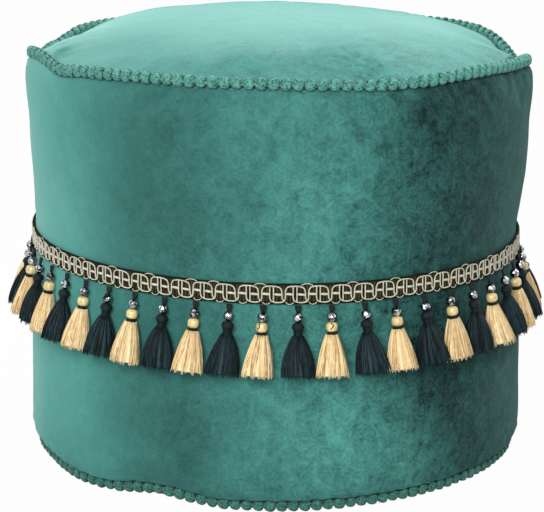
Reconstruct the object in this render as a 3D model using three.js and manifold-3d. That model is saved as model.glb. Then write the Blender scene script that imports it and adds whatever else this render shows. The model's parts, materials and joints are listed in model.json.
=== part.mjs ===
// A round velvet tuffet: a soft drum about 450 mm across, sewn from a domed top panel, a side
// wall and a base panel round a firm inner cushion. A row of yarn balls is caught in each seam,
// an interlaced braid runs round the waist, and fifty beaded tassels hang below the braid.
// A zip in a shallow pocket across the base lets the inner cushion out.
//
// Millimetres, +Z up, origin on the floor under the middle. An azimuth is measured from -Y,
// the front, and grows towards +X. A profile is a list of points (radius, height).

import * as THREE from "three";
import { mergeVertices } from "three/addons/utils/BufferGeometryUtils.js";
import Module from "manifold-3d";

const kernel = await Module();
kernel.setup();

// Fits: how far two pieces that touch are kept apart, and how far a cut runs past its piece.
const seatClearance = 0.3;
const slideClearance = 0.4;
const cutOverrun = 5;

// The covered drum. Its wall stands past the seams by a little at the waist and more at the
// bulges above and below it.
const seamRadius = 210.6;
const waistFullness = 8.4;
const bulgeFullness = 14.4;
const waistRadius = seamRadius + waistFullness;
const bulgeRadius = seamRadius + bulgeFullness;
const wallTop = 359.5;
const wallBottom = 9.5;
const crownRise = 27;
const clothThickness = 2;
const waistHeight = 192;
const baseEdgeRound = 9.6;
const stations = 60;

// How the cover has settled: the cloth sags and pushes out in places near its two seams, its
// upper half leans to +X, and the braid lies a little higher at -X than at +X.
const rimSag = 10;
const rimPush = 5;
const crownLean = 6.5;
const upperFade = 70;
const lowerFade = 60;
const upperShift = 3;
const shiftFade = 50;
const braidSlant = 3;

// Balls of the two trims.
const ballCount = 138;
const ballDepth = 10;
const ballHeight = 12;
const ballNeckShare = 0.68;
const trimRise = 4.3;
const topBallSides = 5;
const baseBallSides = 4;

// The braid: a woven tape with a raised scroll of interlaced loops on it.
const tapeHeight = 17;
const tapeThickness = 1.9;
const scrollCount = 73;
const scrollHeight = 13.8;
const scrollThickness = 1.8;
const scrollDipShare = 0.66;

// The tassels.
const tasselPairs = 25;
const firstGoldAzimuth = -2.7;
const firstBlackAzimuth = 4.6;
const tasselSides = 6;
const cordRadius = 1.5;
const pivotProud = 2;
const cordLength = 5.6;
const metalBeadDiameter = 7.8;
const woodBeadDiameter = 9.8;
const woodBeadHeight = 8.4;
const beadHoleShare = 0.5;
const beadShoulderShare = 0.42;
const collarHeight = 2.3;
const collarRadius = 4;
const yarnHeadDiameter = 9.4;
const yarnHeadHeight = 7.2;
const yarnNeckHeight = 3.8;
const yarnNeckRadius = 3.4;
const skirtLength = 36.6;
const skirtTopRadius = 5.2;
const skirtGap = 2.2;

// The zip and its pocket in the base.
const zipLength = 300;
const zipEndRoom = 5;
const zipPocketWidth = 16;
const zipPocketHeight = 8;
const zipTapeThickness = 0.8;
const coilWidth = 6;
const coilHeight = 2.2;
const sliderLength = 12;
const sliderWall = 1.6;
const sliderPlate = 1;
const pullLength = 24;
const pullWidth = 7;
const pullThickness = 1.2;
const pullDrop = 0.8;
const bridgeLength = 5;

// The inner cushion.
const sideSlack = 2;
const shoulderInset = 9;
const shoulderDrop = 5;

const fullTurn = 2 * Math.PI;
const radians = THREE.MathUtils.degToRad;
const smooth = (share) => THREE.MathUtils.smoothstep(share, 0, 1);

// Where the cloth sags at the top seam: azimuth and half width in degrees, depth as a share.
const topSagShares = [
  { azimuth: -60, width: 7, share: 0.45 },
  { azimuth: -52, width: 13, share: 0.28 },
  { azimuth: 27, width: 19, share: 0.42 },
  { azimuth: 79, width: 25, share: 0.85 },
  { azimuth: 93, width: 8, share: 0.9 },
  { azimuth: 102, width: 9, share: 0.45 },
  { azimuth: -92, width: 9, share: 1.2 },
  { azimuth: -107, width: 10, share: 0.9 },
  { azimuth: 180, width: 45, share: 0.35 },
];
// Where the top seam is pushed out.
const topPushShares = [
  { azimuth: -80, width: 9, share: 1.3 },
  { azimuth: 79, width: 8, share: 1.3 },
];
// Where the base seam is lifted, and where it is pushed out.
const baseLiftShares = [
  { azimuth: -27, width: 9.5, share: 0.62 },
  { azimuth: 150, width: 14, share: 0.25 },
];
const basePushShares = [
  { azimuth: -48, width: 13, share: 1.4 },
  { azimuth: -74, width: 16, share: 0.8 },
  { azimuth: 64, width: 24, share: 0.9 },
];

// The sum of bell-shaped bumps at an azimuth in radians, as a share.
function bumps(shares, azimuth) {
  return shares.reduce((sum, bump) => {
    const turn = azimuth - radians(bump.azimuth);
    const away = Math.atan2(Math.sin(turn), Math.cos(turn)) / radians(bump.width);
    return sum + bump.share * Math.exp(-away * away);
  }, 0);
}

// The same, read only at the cloth's stations and joined by straight lines between them, so
// that pieces with more or fewer points round the drum still lie face to face.
function stationBumps(shares, azimuth) {
  const step = fullTurn / stations;
  const place = azimuth / step;
  const before = Math.floor(place);
  const low = bumps(shares, before * step);
  const high = bumps(shares, (before + 1) * step);
  return THREE.MathUtils.lerp(low, high, place - before);
}

// Radius of the wall's outer face at a height: drawn in by the braid at the waist, full above
// and below it, and rolled in to the seams, more tightly at the base.
const fullestShare = 0.6;
const upperRollPower = 2.6;
const lowerRollPower = 5;
function wallRadius(height) {
  const isUpper = height > waistHeight;
  const seamHeight = isUpper ? wallTop : wallBottom;
  const power = isUpper ? upperRollPower : lowerRollPower;
  const share = THREE.MathUtils.clamp((height - waistHeight) / (seamHeight - waistHeight), 0, 1);
  if (share < fullestShare) {
    return THREE.MathUtils.lerp(waistRadius, bulgeRadius, smooth(share / fullestShare));
  }
  const rolled = (share - fullestShare) / (1 - fullestShare);
  const full = Math.pow(1 - Math.pow(rolled, power), 1 / power);
  return THREE.MathUtils.lerp(seamRadius, bulgeRadius, full);
}

// Height of the top panel's outer face at a radius.
const crownPower = 3;
function crownHeight(radius) {
  return wallTop + crownRise * (1 - Math.pow(radius / seamRadius, crownPower));
}

// The braid's tape lies between these heights, raised or lowered by its slant.
const tapeBottom = waistHeight - tapeHeight / 2;
const tapeTop = waistHeight + tapeHeight / 2;
function slant(azimuth) {
  return -braidSlant * Math.sin(azimuth);
}

// Moves a point of the cloth to where it has settled. The cloth under the braid and the flat
// of the base stay as sewn.
const reachPower = 6;
function settle(point) {
  const azimuth = Math.atan2(point.x, -point.y);
  const radius = Math.hypot(point.x, point.y);
  const share = Math.min(1, radius / seamRadius);
  const reach = Math.pow(share, reachPower);
  const upper = smooth((point.z - wallTop + upperFade) / upperFade);
  const flatRadius = seamRadius - baseEdgeRound;
  const edge = smooth((radius - flatRadius) / baseEdgeRound);
  const lower = smooth((wallBottom + lowerFade - point.z) / lowerFade) * edge;
  const lean = crownLean * Math.sin(azimuth) * share * (1 - share * share) * upper;
  const sag = rimSag * stationBumps(topSagShares, azimuth) * reach * upper;
  const lift = rimSag * stationBumps(baseLiftShares, azimuth) * lower;
  const topPush = rimPush * stationBumps(topPushShares, azimuth) * reach * upper;
  const basePush = rimPush * stationBumps(basePushShares, azimuth) * lower;
  const push = radius > 0 ? 1 + (topPush + basePush) / radius : 1;
  const shift = upperShift * THREE.MathUtils.clamp((point.z - tapeTop) / shiftFade, 0, 1);
  return new THREE.Vector3(point.x * push + shift, point.y * push, point.z + lift - sag - lean);
}

// A geometry with only positions, its shared points merged.
function bare(geometry) {
  geometry.deleteAttribute("normal");
  geometry.deleteAttribute("uv");
  return mergeVertices(geometry);
}

function toSolid(geometry) {
  const merged = bare(geometry);
  return new kernel.Manifold(
    new kernel.Mesh({
      numProp: 3,
      vertProperties: merged.attributes.position.array,
      triVerts: new Uint32Array(merged.index.array),
    }),
  );
}

function toGeometry(solid) {
  const mesh = solid.getMesh();
  const geometry = new THREE.BufferGeometry();
  geometry.setAttribute("position", new THREE.BufferAttribute(mesh.vertProperties, 3));
  geometry.setIndex(new THREE.BufferAttribute(mesh.triVerts, 1));
  return geometry;
}

// A box given by its lowest and highest corners.
function block(low, high) {
  const size = high.clone().sub(low);
  const middle = low.clone().add(high).multiplyScalar(1 / 2);
  return new THREE.BoxGeometry(size.x, size.y, size.z).translate(middle.x, middle.y, middle.z);
}

// A turned body about +Z from a profile, its points moved by a function.
function turned(profile, move = (point) => point) {
  const geometry = bare(new THREE.LatheGeometry(profile, stations).rotateX(Math.PI / 2));
  const place = geometry.attributes.position;
  for (let i = 0; i < place.count; i++) {
    const moved = move(new THREE.Vector3().fromBufferAttribute(place, i));
    place.setXYZ(i, moved.x, moved.y, moved.z);
  }
  return geometry;
}

// One closed skin over rows of points. A row of a single point closes an end, and a ring of
// rows closes on itself.
function skin(rows, isRing) {
  const starts = [];
  const points = [];
  for (const row of rows) {
    starts.push(points.length);
    points.push(...row);
  }
  const faces = [];
  const bands = isRing ? rows.length : rows.length - 1;
  for (let i = 0; i < bands; i++) {
    const next = (i + 1) % rows.length;
    const sides = Math.max(rows[i].length, rows[next].length);
    const corner = (row, side) => starts[row] + (side % rows[row].length);
    for (let side = 0; side < sides; side++) {
      if (rows[i].length > 1) {
        faces.push(corner(i, side), corner(i, side + 1), corner(next, side));
      }
      if (rows[next].length > 1) {
        faces.push(corner(i, side + 1), corner(next, side + 1), corner(next, side));
      }
    }
  }
  const geometry = new THREE.BufferGeometry().setFromPoints(points);
  geometry.setIndex(faces);
  return geometry;
}

// A point at an azimuth, a radius and a height.
function around(azimuth, radius, height) {
  return new THREE.Vector3(radius * Math.sin(azimuth), -radius * Math.cos(azimuth), height);
}

// The side wall: a tube of cloth, open at both ends. Its rows are shares of the way from the
// waist to a seam.
const wallUpperShares = [0.12, 0.3, 0.6, 0.78, 0.9, 0.965, 0.992, 1];
const wallLowerShares = [0.12, 0.3, 0.6, 0.8, 0.92, 0.985, 1];
const wallInnerShares = [0.6, 0.9, 1];
function wallPoint(share, end) {
  const height = THREE.MathUtils.lerp(waistHeight, end, share);
  return new THREE.Vector2(wallRadius(height), height);
}
const wallFace = [
  ...wallLowerShares.map((share) => wallPoint(share, wallBottom)).reverse(),
  wallPoint(0, wallTop),
  ...wallUpperShares.map((share) => wallPoint(share, wallTop)),
];
function sideWallGeometry() {
  const inside = (share, end) => {
    const point = wallPoint(share, end);
    return new THREE.Vector2(point.x - clothThickness, point.y);
  };
  const profile = [
    ...wallFace,
    ...wallInnerShares.map((share) => inside(share, wallTop)).reverse(),
    inside(0, wallTop),
    ...wallInnerShares.map((share) => inside(share, wallBottom)),
  ];
  return turned([...profile, profile[0]], settle);
}

// Radius of the wall's outer face between its rows.
function faceRadius(height) {
  const next = wallFace.findIndex((point) => point.y > height);
  if (next < 1) {
    return seamRadius;
  }
  const [low, high] = [wallFace[next - 1], wallFace[next]];
  return THREE.MathUtils.lerp(low.x, high.x, (height - low.y) / (high.y - low.y));
}

// The domed top panel, sewn to the wall at its turned-down edge.
const crownShares = [0, 0.3, 0.55, 0.75, 0.9, 0.97];
const crownInnerShares = [0, 0.45, 0.8];
function topPanelGeometry() {
  const edge = wallTop + seatClearance;
  const innerRadius = seamRadius - clothThickness;
  const outer = crownShares.map(
    (share) => new THREE.Vector2(seamRadius * share, clothThickness + crownHeight(seamRadius * share)),
  );
  const inner = crownInnerShares.map(
    (share) => new THREE.Vector2(seamRadius * share, crownHeight(seamRadius * share)),
  );
  const profile = [
    ...inner,
    new THREE.Vector2(innerRadius, edge),
    new THREE.Vector2(seamRadius, edge),
    new THREE.Vector2(seamRadius, edge + clothThickness),
    ...outer.reverse(),
  ];
  return turned(profile, settle);
}

// The base panel: flat on the floor, turned up at its edge, with a pocket for the zip.
const baseEdgeShares = [0.45, 0.85, 1];
function basePanelGeometry() {
  const edgeTop = wallBottom - seatClearance;
  const flatRadius = seamRadius - baseEdgeRound;
  const turnedUp = (share, cloth) => {
    const angle = (share * Math.PI) / 2;
    const round = baseEdgeRound - cloth;
    const radius = flatRadius + round * Math.sin(angle);
    const rise = Math.min(round, edgeTop - cloth) * (1 - Math.cos(angle));
    return new THREE.Vector2(radius, cloth + rise * (1 - clothThickness / edgeTop));
  };
  const profile = [
    new THREE.Vector2(0, 0),
    new THREE.Vector2(flatRadius, 0),
    ...baseEdgeShares.map((share) => turnedUp(share, 0)),
    new THREE.Vector2(seamRadius, edgeTop),
    new THREE.Vector2(seamRadius - clothThickness, edgeTop),
    turnedUp(baseEdgeShares[1], clothThickness),
    new THREE.Vector2(flatRadius, clothThickness),
    new THREE.Vector2(0, clothThickness),
  ];
  const halfLength = zipLength / 2 + zipEndRoom;
  const halfWidth = zipPocketWidth / 2;
  const welt = block(
    new THREE.Vector3(-halfLength - clothThickness, -halfWidth - clothThickness, clothThickness / 2),
    new THREE.Vector3(halfLength + clothThickness, halfWidth + clothThickness, zipPocketHeight),
  );
  const slot = block(
    new THREE.Vector3(-halfLength, -halfWidth, -cutOverrun),
    new THREE.Vector3(halfLength, halfWidth, zipPocketHeight + cutOverrun),
  );
  const panel = toSolid(turned(profile, settle)).add(toSolid(welt)).subtract(toSolid(slot));
  return toGeometry(panel);
}

// The inner cushion fills the cover, with a groove over the zip's tape.
const cushionSideShares = wallInnerShares.slice(0, -1);
const cushionCrownShares = [1, 0.6, 0];
function innerCushionGeometry() {
  const gap = clothThickness + seatClearance;
  const side = (share, end) => {
    const height = THREE.MathUtils.lerp(waistHeight, end, share);
    return new THREE.Vector2(wallRadius(height) - clothThickness - sideSlack, height);
  };
  const shoulder = seamRadius - gap - shoulderInset;
  const crown = (share) => {
    const radius = shoulder * share;
    return new THREE.Vector2(radius, crownHeight(radius) - seatClearance - shoulderDrop * share);
  };
  const profile = [
    new THREE.Vector2(0, gap),
    new THREE.Vector2(shoulder, gap),
    ...cushionSideShares.map((share) => side(share, wallBottom)).reverse(),
    side(0, wallTop),
    ...cushionSideShares.map((share) => side(share, wallTop)),
    ...cushionCrownShares.map(crown),
  ];
  const tape = zipPocketWidth / 2 + clothThickness + seatClearance;
  const halfLength = zipLength / 2 + zipEndRoom + clothThickness + seatClearance;
  const groove = block(
    new THREE.Vector3(-halfLength, -tape, -cutOverrun),
    new THREE.Vector3(
      halfLength,
      tape,
      zipPocketHeight + zipTapeThickness + 2 * seatClearance,
    ),
  );
  return toGeometry(toSolid(turned(profile, settle)).subtract(toSolid(groove)));
}

// A trim of yarn balls in a seam: a ring whose section swells at each ball.
function ballTrimGeometry(height, sides) {
  const flat = Math.cos(Math.PI / sides);
  const trimRadius = seamRadius + seatClearance + (ballDepth / 2) * flat;
  const first = sides % 2 === 0 ? Math.PI / sides : 0;
  const rows = [];
  for (let i = 0; i < 2 * ballCount; i++) {
    const azimuth = (i * fullTurn) / (2 * ballCount);
    const share = i % 2 === 0 ? 1 : ballNeckShare;
    const row = [];
    for (let side = 0; side < sides; side++) {
      const angle = first - (side * fullTurn) / sides;
      const radius = trimRadius + (ballDepth / 2) * share * Math.cos(angle);
      const rise = (ballHeight / 2) * share * Math.sin(angle);
      const seat = settle(around(azimuth, seamRadius, height));
      const plain = around(azimuth, seamRadius, height);
      row.push(around(azimuth, radius, height + rise).add(seat.sub(plain)));
    }
    rows.push(row);
  }
  return skin(rows, true);
}

// The braid's woven backing tape, round the waist.
const widestUnderTape = Math.max(
  faceRadius(tapeBottom - braidSlant),
  faceRadius(tapeTop + braidSlant),
);
const tapeInner = widestUnderTape + seatClearance;
const tapeOuter = tapeInner + tapeThickness;
function braidTapeGeometry() {
  const corners = [
    new THREE.Vector2(tapeInner, tapeBottom),
    new THREE.Vector2(tapeOuter, tapeBottom),
    new THREE.Vector2(tapeOuter, tapeTop),
    new THREE.Vector2(tapeInner, tapeTop),
  ];
  const aslant = (point) => point.setZ(point.z + slant(Math.atan2(point.x, -point.y)));
  return turned([...corners, corners[0]], aslant);
}

// The scroll: a row of upper arches and a row of lower ones, a third of a loop further on.
const archColumns = 3;
const archPower = 0.7;
function braidScrollGeometry() {
  const inner = tapeOuter + seatClearance;
  const outer = inner + scrollThickness;
  const arch = (place) => {
    const swell = Math.pow(Math.abs(Math.sin(Math.PI * place)), archPower);
    return (scrollHeight / 2) * THREE.MathUtils.lerp(scrollDipShare, 1, swell);
  };
  const rows = [];
  for (let i = 0; i < scrollCount * archColumns; i++) {
    const place = i / archColumns;
    const azimuth = (place * fullTurn) / scrollCount;
    const middle = waistHeight + slant(azimuth);
    const over = middle + arch(place + 1 / 2);
    const under = middle - arch(place + 1 / 2 - 1 / archColumns);
    rows.push([
      around(azimuth, inner, over),
      around(azimuth, outer, over),
      around(azimuth, outer, under),
      around(azimuth, inner, under),
    ]);
  }
  return skin(rows, true);
}

// A tassel's pivot: its cord bends where it leaves the tape's lower edge.
const pivotRadius = tapeOuter + pivotProud;
const pivotHeight = tapeBottom - seatClearance - cordRadius;

// Rows of a tassel's outline, as distances below the pivot and radii. A bead has a shoulder
// row on each side of its middle and its hole's rim at each end.
function beadRows(top, height, radius) {
  const rim = radius * beadHoleShare;
  const half = height / 2;
  return [
    [top, rim],
    [top + half * (1 - beadShoulderShare), radius],
    [top + half * (1 + beadShoulderShare), radius],
    [top + height, rim],
  ];
}

// The skirt spreads to fill the room between its neighbours, but for a gap.
const skirtSpreadShares = [
  [0, 0],
  [0.33, 0.62],
  [1, 1],
];
function skirtRows(top) {
  const room = (fullTurn * pivotRadius) / (2 * tasselPairs);
  const spread = (room - skirtGap) / 2;
  return skirtSpreadShares.map(([share, spreadShare]) => [
    top + skirtLength * share,
    THREE.MathUtils.lerp(skirtTopRadius, spread, spreadShare),
  ]);
}

function goldRows() {
  const beadTop = cordLength;
  const woodTop = beadTop + metalBeadDiameter;
  const collarTop = woodTop + woodBeadHeight;
  const skirtTop = collarTop + collarHeight;
  return [
    [0, cordRadius],
    [beadTop, cordRadius],
    ...beadRows(beadTop, metalBeadDiameter, metalBeadDiameter / 2).slice(1),
    ...beadRows(woodTop, woodBeadHeight, woodBeadDiameter / 2).slice(1, -1),
    [collarTop + collarHeight / 2, collarRadius],
    ...skirtRows(skirtTop),
  ];
}

function blackRows() {
  const beadTop = cordLength;
  const headTop = beadTop + metalBeadDiameter;
  const neckTop = headTop + yarnHeadHeight;
  const skirtTop = headTop + woodBeadHeight + collarHeight;
  return [
    [0, cordRadius],
    [beadTop, cordRadius],
    ...beadRows(beadTop, metalBeadDiameter, metalBeadDiameter / 2).slice(1),
    ...beadRows(headTop, yarnHeadHeight, yarnHeadDiameter / 2).slice(1, -1),
    [neckTop + yarnNeckHeight / 2, yarnNeckRadius],
    ...skirtRows(skirtTop),
  ];
}

// A tassel hung from the origin, with one of its flats to the wall.
function tasselGeometry(outline) {
  const ring = ([below, radius]) =>
    Array.from({ length: tasselSides }, (_, side) => {
      const angle = ((side + 1 / 2) * fullTurn) / tasselSides;
      return new THREE.Vector3(radius * Math.sin(angle), -radius * Math.cos(angle), -below);
    });
  const tip = outline[outline.length - 1][0];
  const rows = [
    [new THREE.Vector3(0, 0, cordRadius)],
    ...outline.map(ring),
    [new THREE.Vector3(0, 0, -tip)],
  ];
  return skin(rows.reverse(), false);
}

// The lean at which a tassel lies against the wall, also where the braid is lowest. It is
// found by halving.
const steepest = radians(40);
const halvings = 40;
function restingLean(outline) {
  const clearance = (lean) =>
    Math.min(
      ...outline.map(([below, radius]) => {
        const back = radius * Math.cos(Math.PI / tasselSides);
        const out = pivotRadius + below * Math.sin(lean) - back * Math.cos(lean);
        const height = pivotHeight - below * Math.cos(lean) - back * Math.sin(lean);
        return out - faceRadius(height - braidSlant);
      }),
    );
  let low = 0;
  let high = steepest;
  for (let i = 0; i < halvings; i++) {
    const middle = (low + high) / 2;
    if (clearance(middle) < seatClearance) {
      low = middle;
    } else {
      high = middle;
    }
  }
  return high;
}

// The zip: a tape sewn over the pocket's rim, with the closed coil under it.
const coilSteps = 6;
function zipChainGeometry() {
  const halfLength = zipLength / 2 + zipEndRoom + clothThickness;
  const halfWidth = zipPocketWidth / 2 + clothThickness;
  const bottom = zipPocketHeight + seatClearance;
  const tape = block(
    new THREE.Vector3(-halfLength, -halfWidth, bottom),
    new THREE.Vector3(halfLength, halfWidth, bottom + zipTapeThickness),
  );
  const section = new THREE.Shape();
  section.moveTo(-coilWidth / 2, zipTapeThickness / 2);
  section.lineTo(-coilWidth / 2, 0);
  section.absellipse(0, 0, coilWidth / 2, coilHeight, Math.PI, fullTurn, false);
  section.lineTo(coilWidth / 2, zipTapeThickness / 2);
  const coil = new THREE.ExtrudeGeometry(section, {
    depth: zipLength,
    bevelEnabled: false,
    curveSegments: coilSteps,
  });
  coil.rotateX(Math.PI / 2).rotateZ(Math.PI / 2).translate(-zipLength / 2, 0, bottom);
  return toGeometry(toSolid(tape).add(toSolid(coil)));
}

// The slider: a channel under the coil, a bridge and a pull that lies flat below it.
const coilBottom = zipPocketHeight + seatClearance - coilHeight;
const sliderStart = -zipLength / 2;
function zipSliderGeometry() {
  const inner = coilWidth / 2 + slideClearance;
  const outer = inner + sliderWall;
  const plateTop = coilBottom - slideClearance;
  const plateBottom = plateTop - sliderPlate;
  const flangeTop = zipPocketHeight + seatClearance - slideClearance;
  const end = sliderStart + sliderLength;
  const middle = (sliderStart + end) / 2;
  const body = block(
    new THREE.Vector3(sliderStart, -outer, plateBottom),
    new THREE.Vector3(end, outer, flangeTop),
  );
  const channel = block(
    new THREE.Vector3(sliderStart - cutOverrun, -inner, plateTop),
    new THREE.Vector3(end + cutOverrun, inner, flangeTop + cutOverrun),
  );
  const pullTop = plateBottom - pullDrop;
  const bridge = block(
    new THREE.Vector3(middle - bridgeLength / 2, -sliderWall, pullTop - pullThickness / 2),
    new THREE.Vector3(middle + bridgeLength / 2, sliderWall, plateBottom + sliderPlate / 2),
  );
  const pull = block(
    new THREE.Vector3(middle - bridgeLength / 2, -pullWidth / 2, pullTop - pullThickness),
    new THREE.Vector3(middle + pullLength, pullWidth / 2, pullTop),
  );
  const solid = toSolid(body).subtract(toSolid(channel)).add(toSolid(bridge)).add(toSolid(pull));
  return toGeometry(solid);
}

const velvet = new THREE.MeshStandardMaterial({ color: 0x2f7a6c, roughness: 0.85 });
const lining = new THREE.MeshStandardMaterial({ color: 0x23443f, roughness: 0.95 });
const ballYarn = new THREE.MeshStandardMaterial({ color: 0x3f8a7a, roughness: 0.9 });
const stuffing = new THREE.MeshStandardMaterial({ color: 0xe8e4da, roughness: 1 });
const blackWeave = new THREE.MeshStandardMaterial({ color: 0x1d2420, roughness: 0.8 });
const goldBraid = new THREE.MeshStandardMaterial({ color: 0xc8b886, roughness: 0.45 });
const goldYarn = new THREE.MeshStandardMaterial({ color: 0xe2c184, roughness: 0.6 });
const blackYarn = new THREE.MeshStandardMaterial({ color: 0x15202a, roughness: 0.6 });
const zipNylon = new THREE.MeshStandardMaterial({ color: 0x1b3330, roughness: 0.6 });
const sliderMetal = new THREE.MeshStandardMaterial({
  color: 0x8a8d8f,
  roughness: 0.35,
  metalness: 1,
});

const tuffet = new THREE.Group();

function addPiece(name, geometry, material, parent = tuffet) {
  const mesh = new THREE.Mesh(geometry, material);
  mesh.name = name;
  parent.add(mesh);
  return mesh;
}

addPiece("inner_cushion", innerCushionGeometry(), stuffing);
addPiece("side_wall", sideWallGeometry(), velvet);
addPiece("top_panel", topPanelGeometry(), velvet);
addPiece("base_panel", basePanelGeometry(), lining);
addPiece("top_ball_trim", ballTrimGeometry(wallTop + trimRise, topBallSides), ballYarn);
addPiece("base_ball_trim", ballTrimGeometry(wallBottom - trimRise, baseBallSides), ballYarn);
addPiece("braid_tape", braidTapeGeometry(), blackWeave);
addPiece("braid_scroll", braidScrollGeometry(), goldBraid);
addPiece("zip_chain", zipChainGeometry(), zipNylon);
addPiece("zip_slider", zipSliderGeometry(), sliderMetal);

// One tassel in each place of its colour, hung in a group turned to its azimuth.
function addTassels(colourName, outline, material, firstAzimuth) {
  const geometry = tasselGeometry(outline);
  const lean = restingLean(outline);
  for (let i = 0; i < tasselPairs; i++) {
    const place = new THREE.Group();
    const azimuth = radians(firstAzimuth) + (i * fullTurn) / tasselPairs;
    place.rotation.z = azimuth;
    tuffet.add(place);
    const number = String(i + 1).padStart(2, "0");
    const tassel = addPiece(colourName + "_tassel_" + number, geometry, material, place);
    tassel.position.set(0, -pivotRadius, pivotHeight + slant(azimuth));
    tassel.rotation.x = -lean;
  }
}

addTassels("gold", goldRows(), goldYarn, firstGoldAzimuth);
addTassels("black", blackRows(), blackYarn, firstBlackAzimuth);

export default tuffet;
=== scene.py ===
"""A velvet tuffet, dressed round its CAD frame.

The drum is a firm cushion in a sewn velvet cover. A trim of yarn balls is caught in its top
and base seams, a gold braid is sewn round the waist, and fifty tassels hang from the braid,
gold and black in turn. Under the base a zip lets the cushion out.

Lengths are in metres and angles in degrees. Azimuth 0 is the front of the drum, where the
outward direction is -Y, and azimuths grow towards +X.
"""

import json
import logging
import math
from collections.abc import Callable, Iterable, Mapping, Sequence
from dataclasses import dataclass, field
from enum import Enum
from typing import Any

import bpy
import numpy as np
import numpy.typing as npt
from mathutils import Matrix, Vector

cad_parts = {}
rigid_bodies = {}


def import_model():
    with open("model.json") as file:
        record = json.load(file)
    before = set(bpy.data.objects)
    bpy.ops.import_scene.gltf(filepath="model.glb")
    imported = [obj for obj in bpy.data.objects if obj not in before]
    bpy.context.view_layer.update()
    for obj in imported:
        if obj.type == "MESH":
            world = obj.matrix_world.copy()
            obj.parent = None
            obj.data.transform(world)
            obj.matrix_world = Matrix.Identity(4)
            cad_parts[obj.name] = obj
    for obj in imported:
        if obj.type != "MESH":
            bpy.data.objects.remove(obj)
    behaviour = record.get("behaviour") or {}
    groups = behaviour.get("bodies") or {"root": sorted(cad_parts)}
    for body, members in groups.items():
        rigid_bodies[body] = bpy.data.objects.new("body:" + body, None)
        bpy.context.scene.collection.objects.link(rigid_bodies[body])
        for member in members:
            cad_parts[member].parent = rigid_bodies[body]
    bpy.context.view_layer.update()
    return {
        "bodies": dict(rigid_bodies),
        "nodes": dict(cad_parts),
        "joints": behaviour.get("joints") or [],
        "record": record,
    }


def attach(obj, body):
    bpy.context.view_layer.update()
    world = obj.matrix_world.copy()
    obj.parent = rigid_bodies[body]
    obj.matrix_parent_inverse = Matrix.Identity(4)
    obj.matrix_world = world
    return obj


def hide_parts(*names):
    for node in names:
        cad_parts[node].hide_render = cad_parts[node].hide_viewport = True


Points = npt.NDArray[np.float64]
Corners = npt.NDArray[np.int64]
Colour = tuple[float, float, float, float]
Curve = tuple[tuple[float, float, float], ...]

log = logging.getLogger("tuffet")

DRUM_BODY = "drum"
FULL_TURN = 2 * math.pi
UP = np.array([0.0, 0.0, 1.0])
LEVEL = np.array([1.0, 1.0, 0.0])
WHITE = (1.0, 1.0, 1.0, 1.0)


class Seam(Enum):
    """The two seams that hold a ball trim."""

    TOP = "top"
    BASE = "base"


class Yarn(Enum):
    """The two kinds of tassel, by the colour of their yarn."""

    GOLD = "gold"
    BLACK = "black"


def paint(red: float, green: float, blue: float) -> Colour:
    """Turns a colour as a screen shows it, 0 to 255, into the linear one that shaders use.

    Args:
        red: Red on the screen.
        green: Green on the screen.
        blue: Blue on the screen.

    Returns:
        The colour, opaque.
    """

    def linear(level: float) -> float:
        """The linear share of one screen level."""
        share = level / 255
        return share / 12.92 if share <= 0.04045 else ((share + 0.055) / 1.055) ** 2.4

    return linear(red), linear(green), linear(blue), 1.0


def smooth(share: npt.ArrayLike) -> Points:
    """An S-shaped step: 3s^2 - 2s^3 of the share held between 0 and 1."""
    held = np.clip(np.asarray(share, float), 0.0, 1.0)
    return held * held * (3 - 2 * held)


def unit(vectors: Points) -> Points:
    """The vectors, each divided by its own length."""
    return vectors / np.linalg.norm(vectors, axis=-1, keepdims=True)


def spread(count: int, start: float = 0.0) -> Points:
    """Azimuths spread evenly round the drum, the first one start steps from the front."""
    return 360 * (np.arange(count) + start) / count


def ring_turns(sides: int) -> Points:
    """Angles in radians of points spread evenly round a ring."""
    return FULL_TURN * np.arange(sides) / sides


def outward(azimuth: npt.ArrayLike) -> Points:
    """The level direction away from the drum's axis at an azimuth: (sin a, -cos a, 0)."""
    turn = np.radians(np.asarray(azimuth, float))
    return np.stack([np.sin(turn), -np.cos(turn), np.zeros_like(turn)], axis=-1)


def around(azimuth: npt.ArrayLike, radius: npt.ArrayLike, height: npt.ArrayLike) -> Points:
    """Points at an azimuth, a radius and a height: radius times the outward direction, raised.

    Args:
        azimuth: Azimuths of the points.
        radius: Radii of the points.
        height: Heights of the points.

    Returns:
        The points.
    """
    azimuth, radius, height = np.broadcast_arrays(azimuth, radius, height)
    points = outward(azimuth) * np.asarray(radius, float)[..., None]
    points[..., 2] = height
    return points


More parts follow.
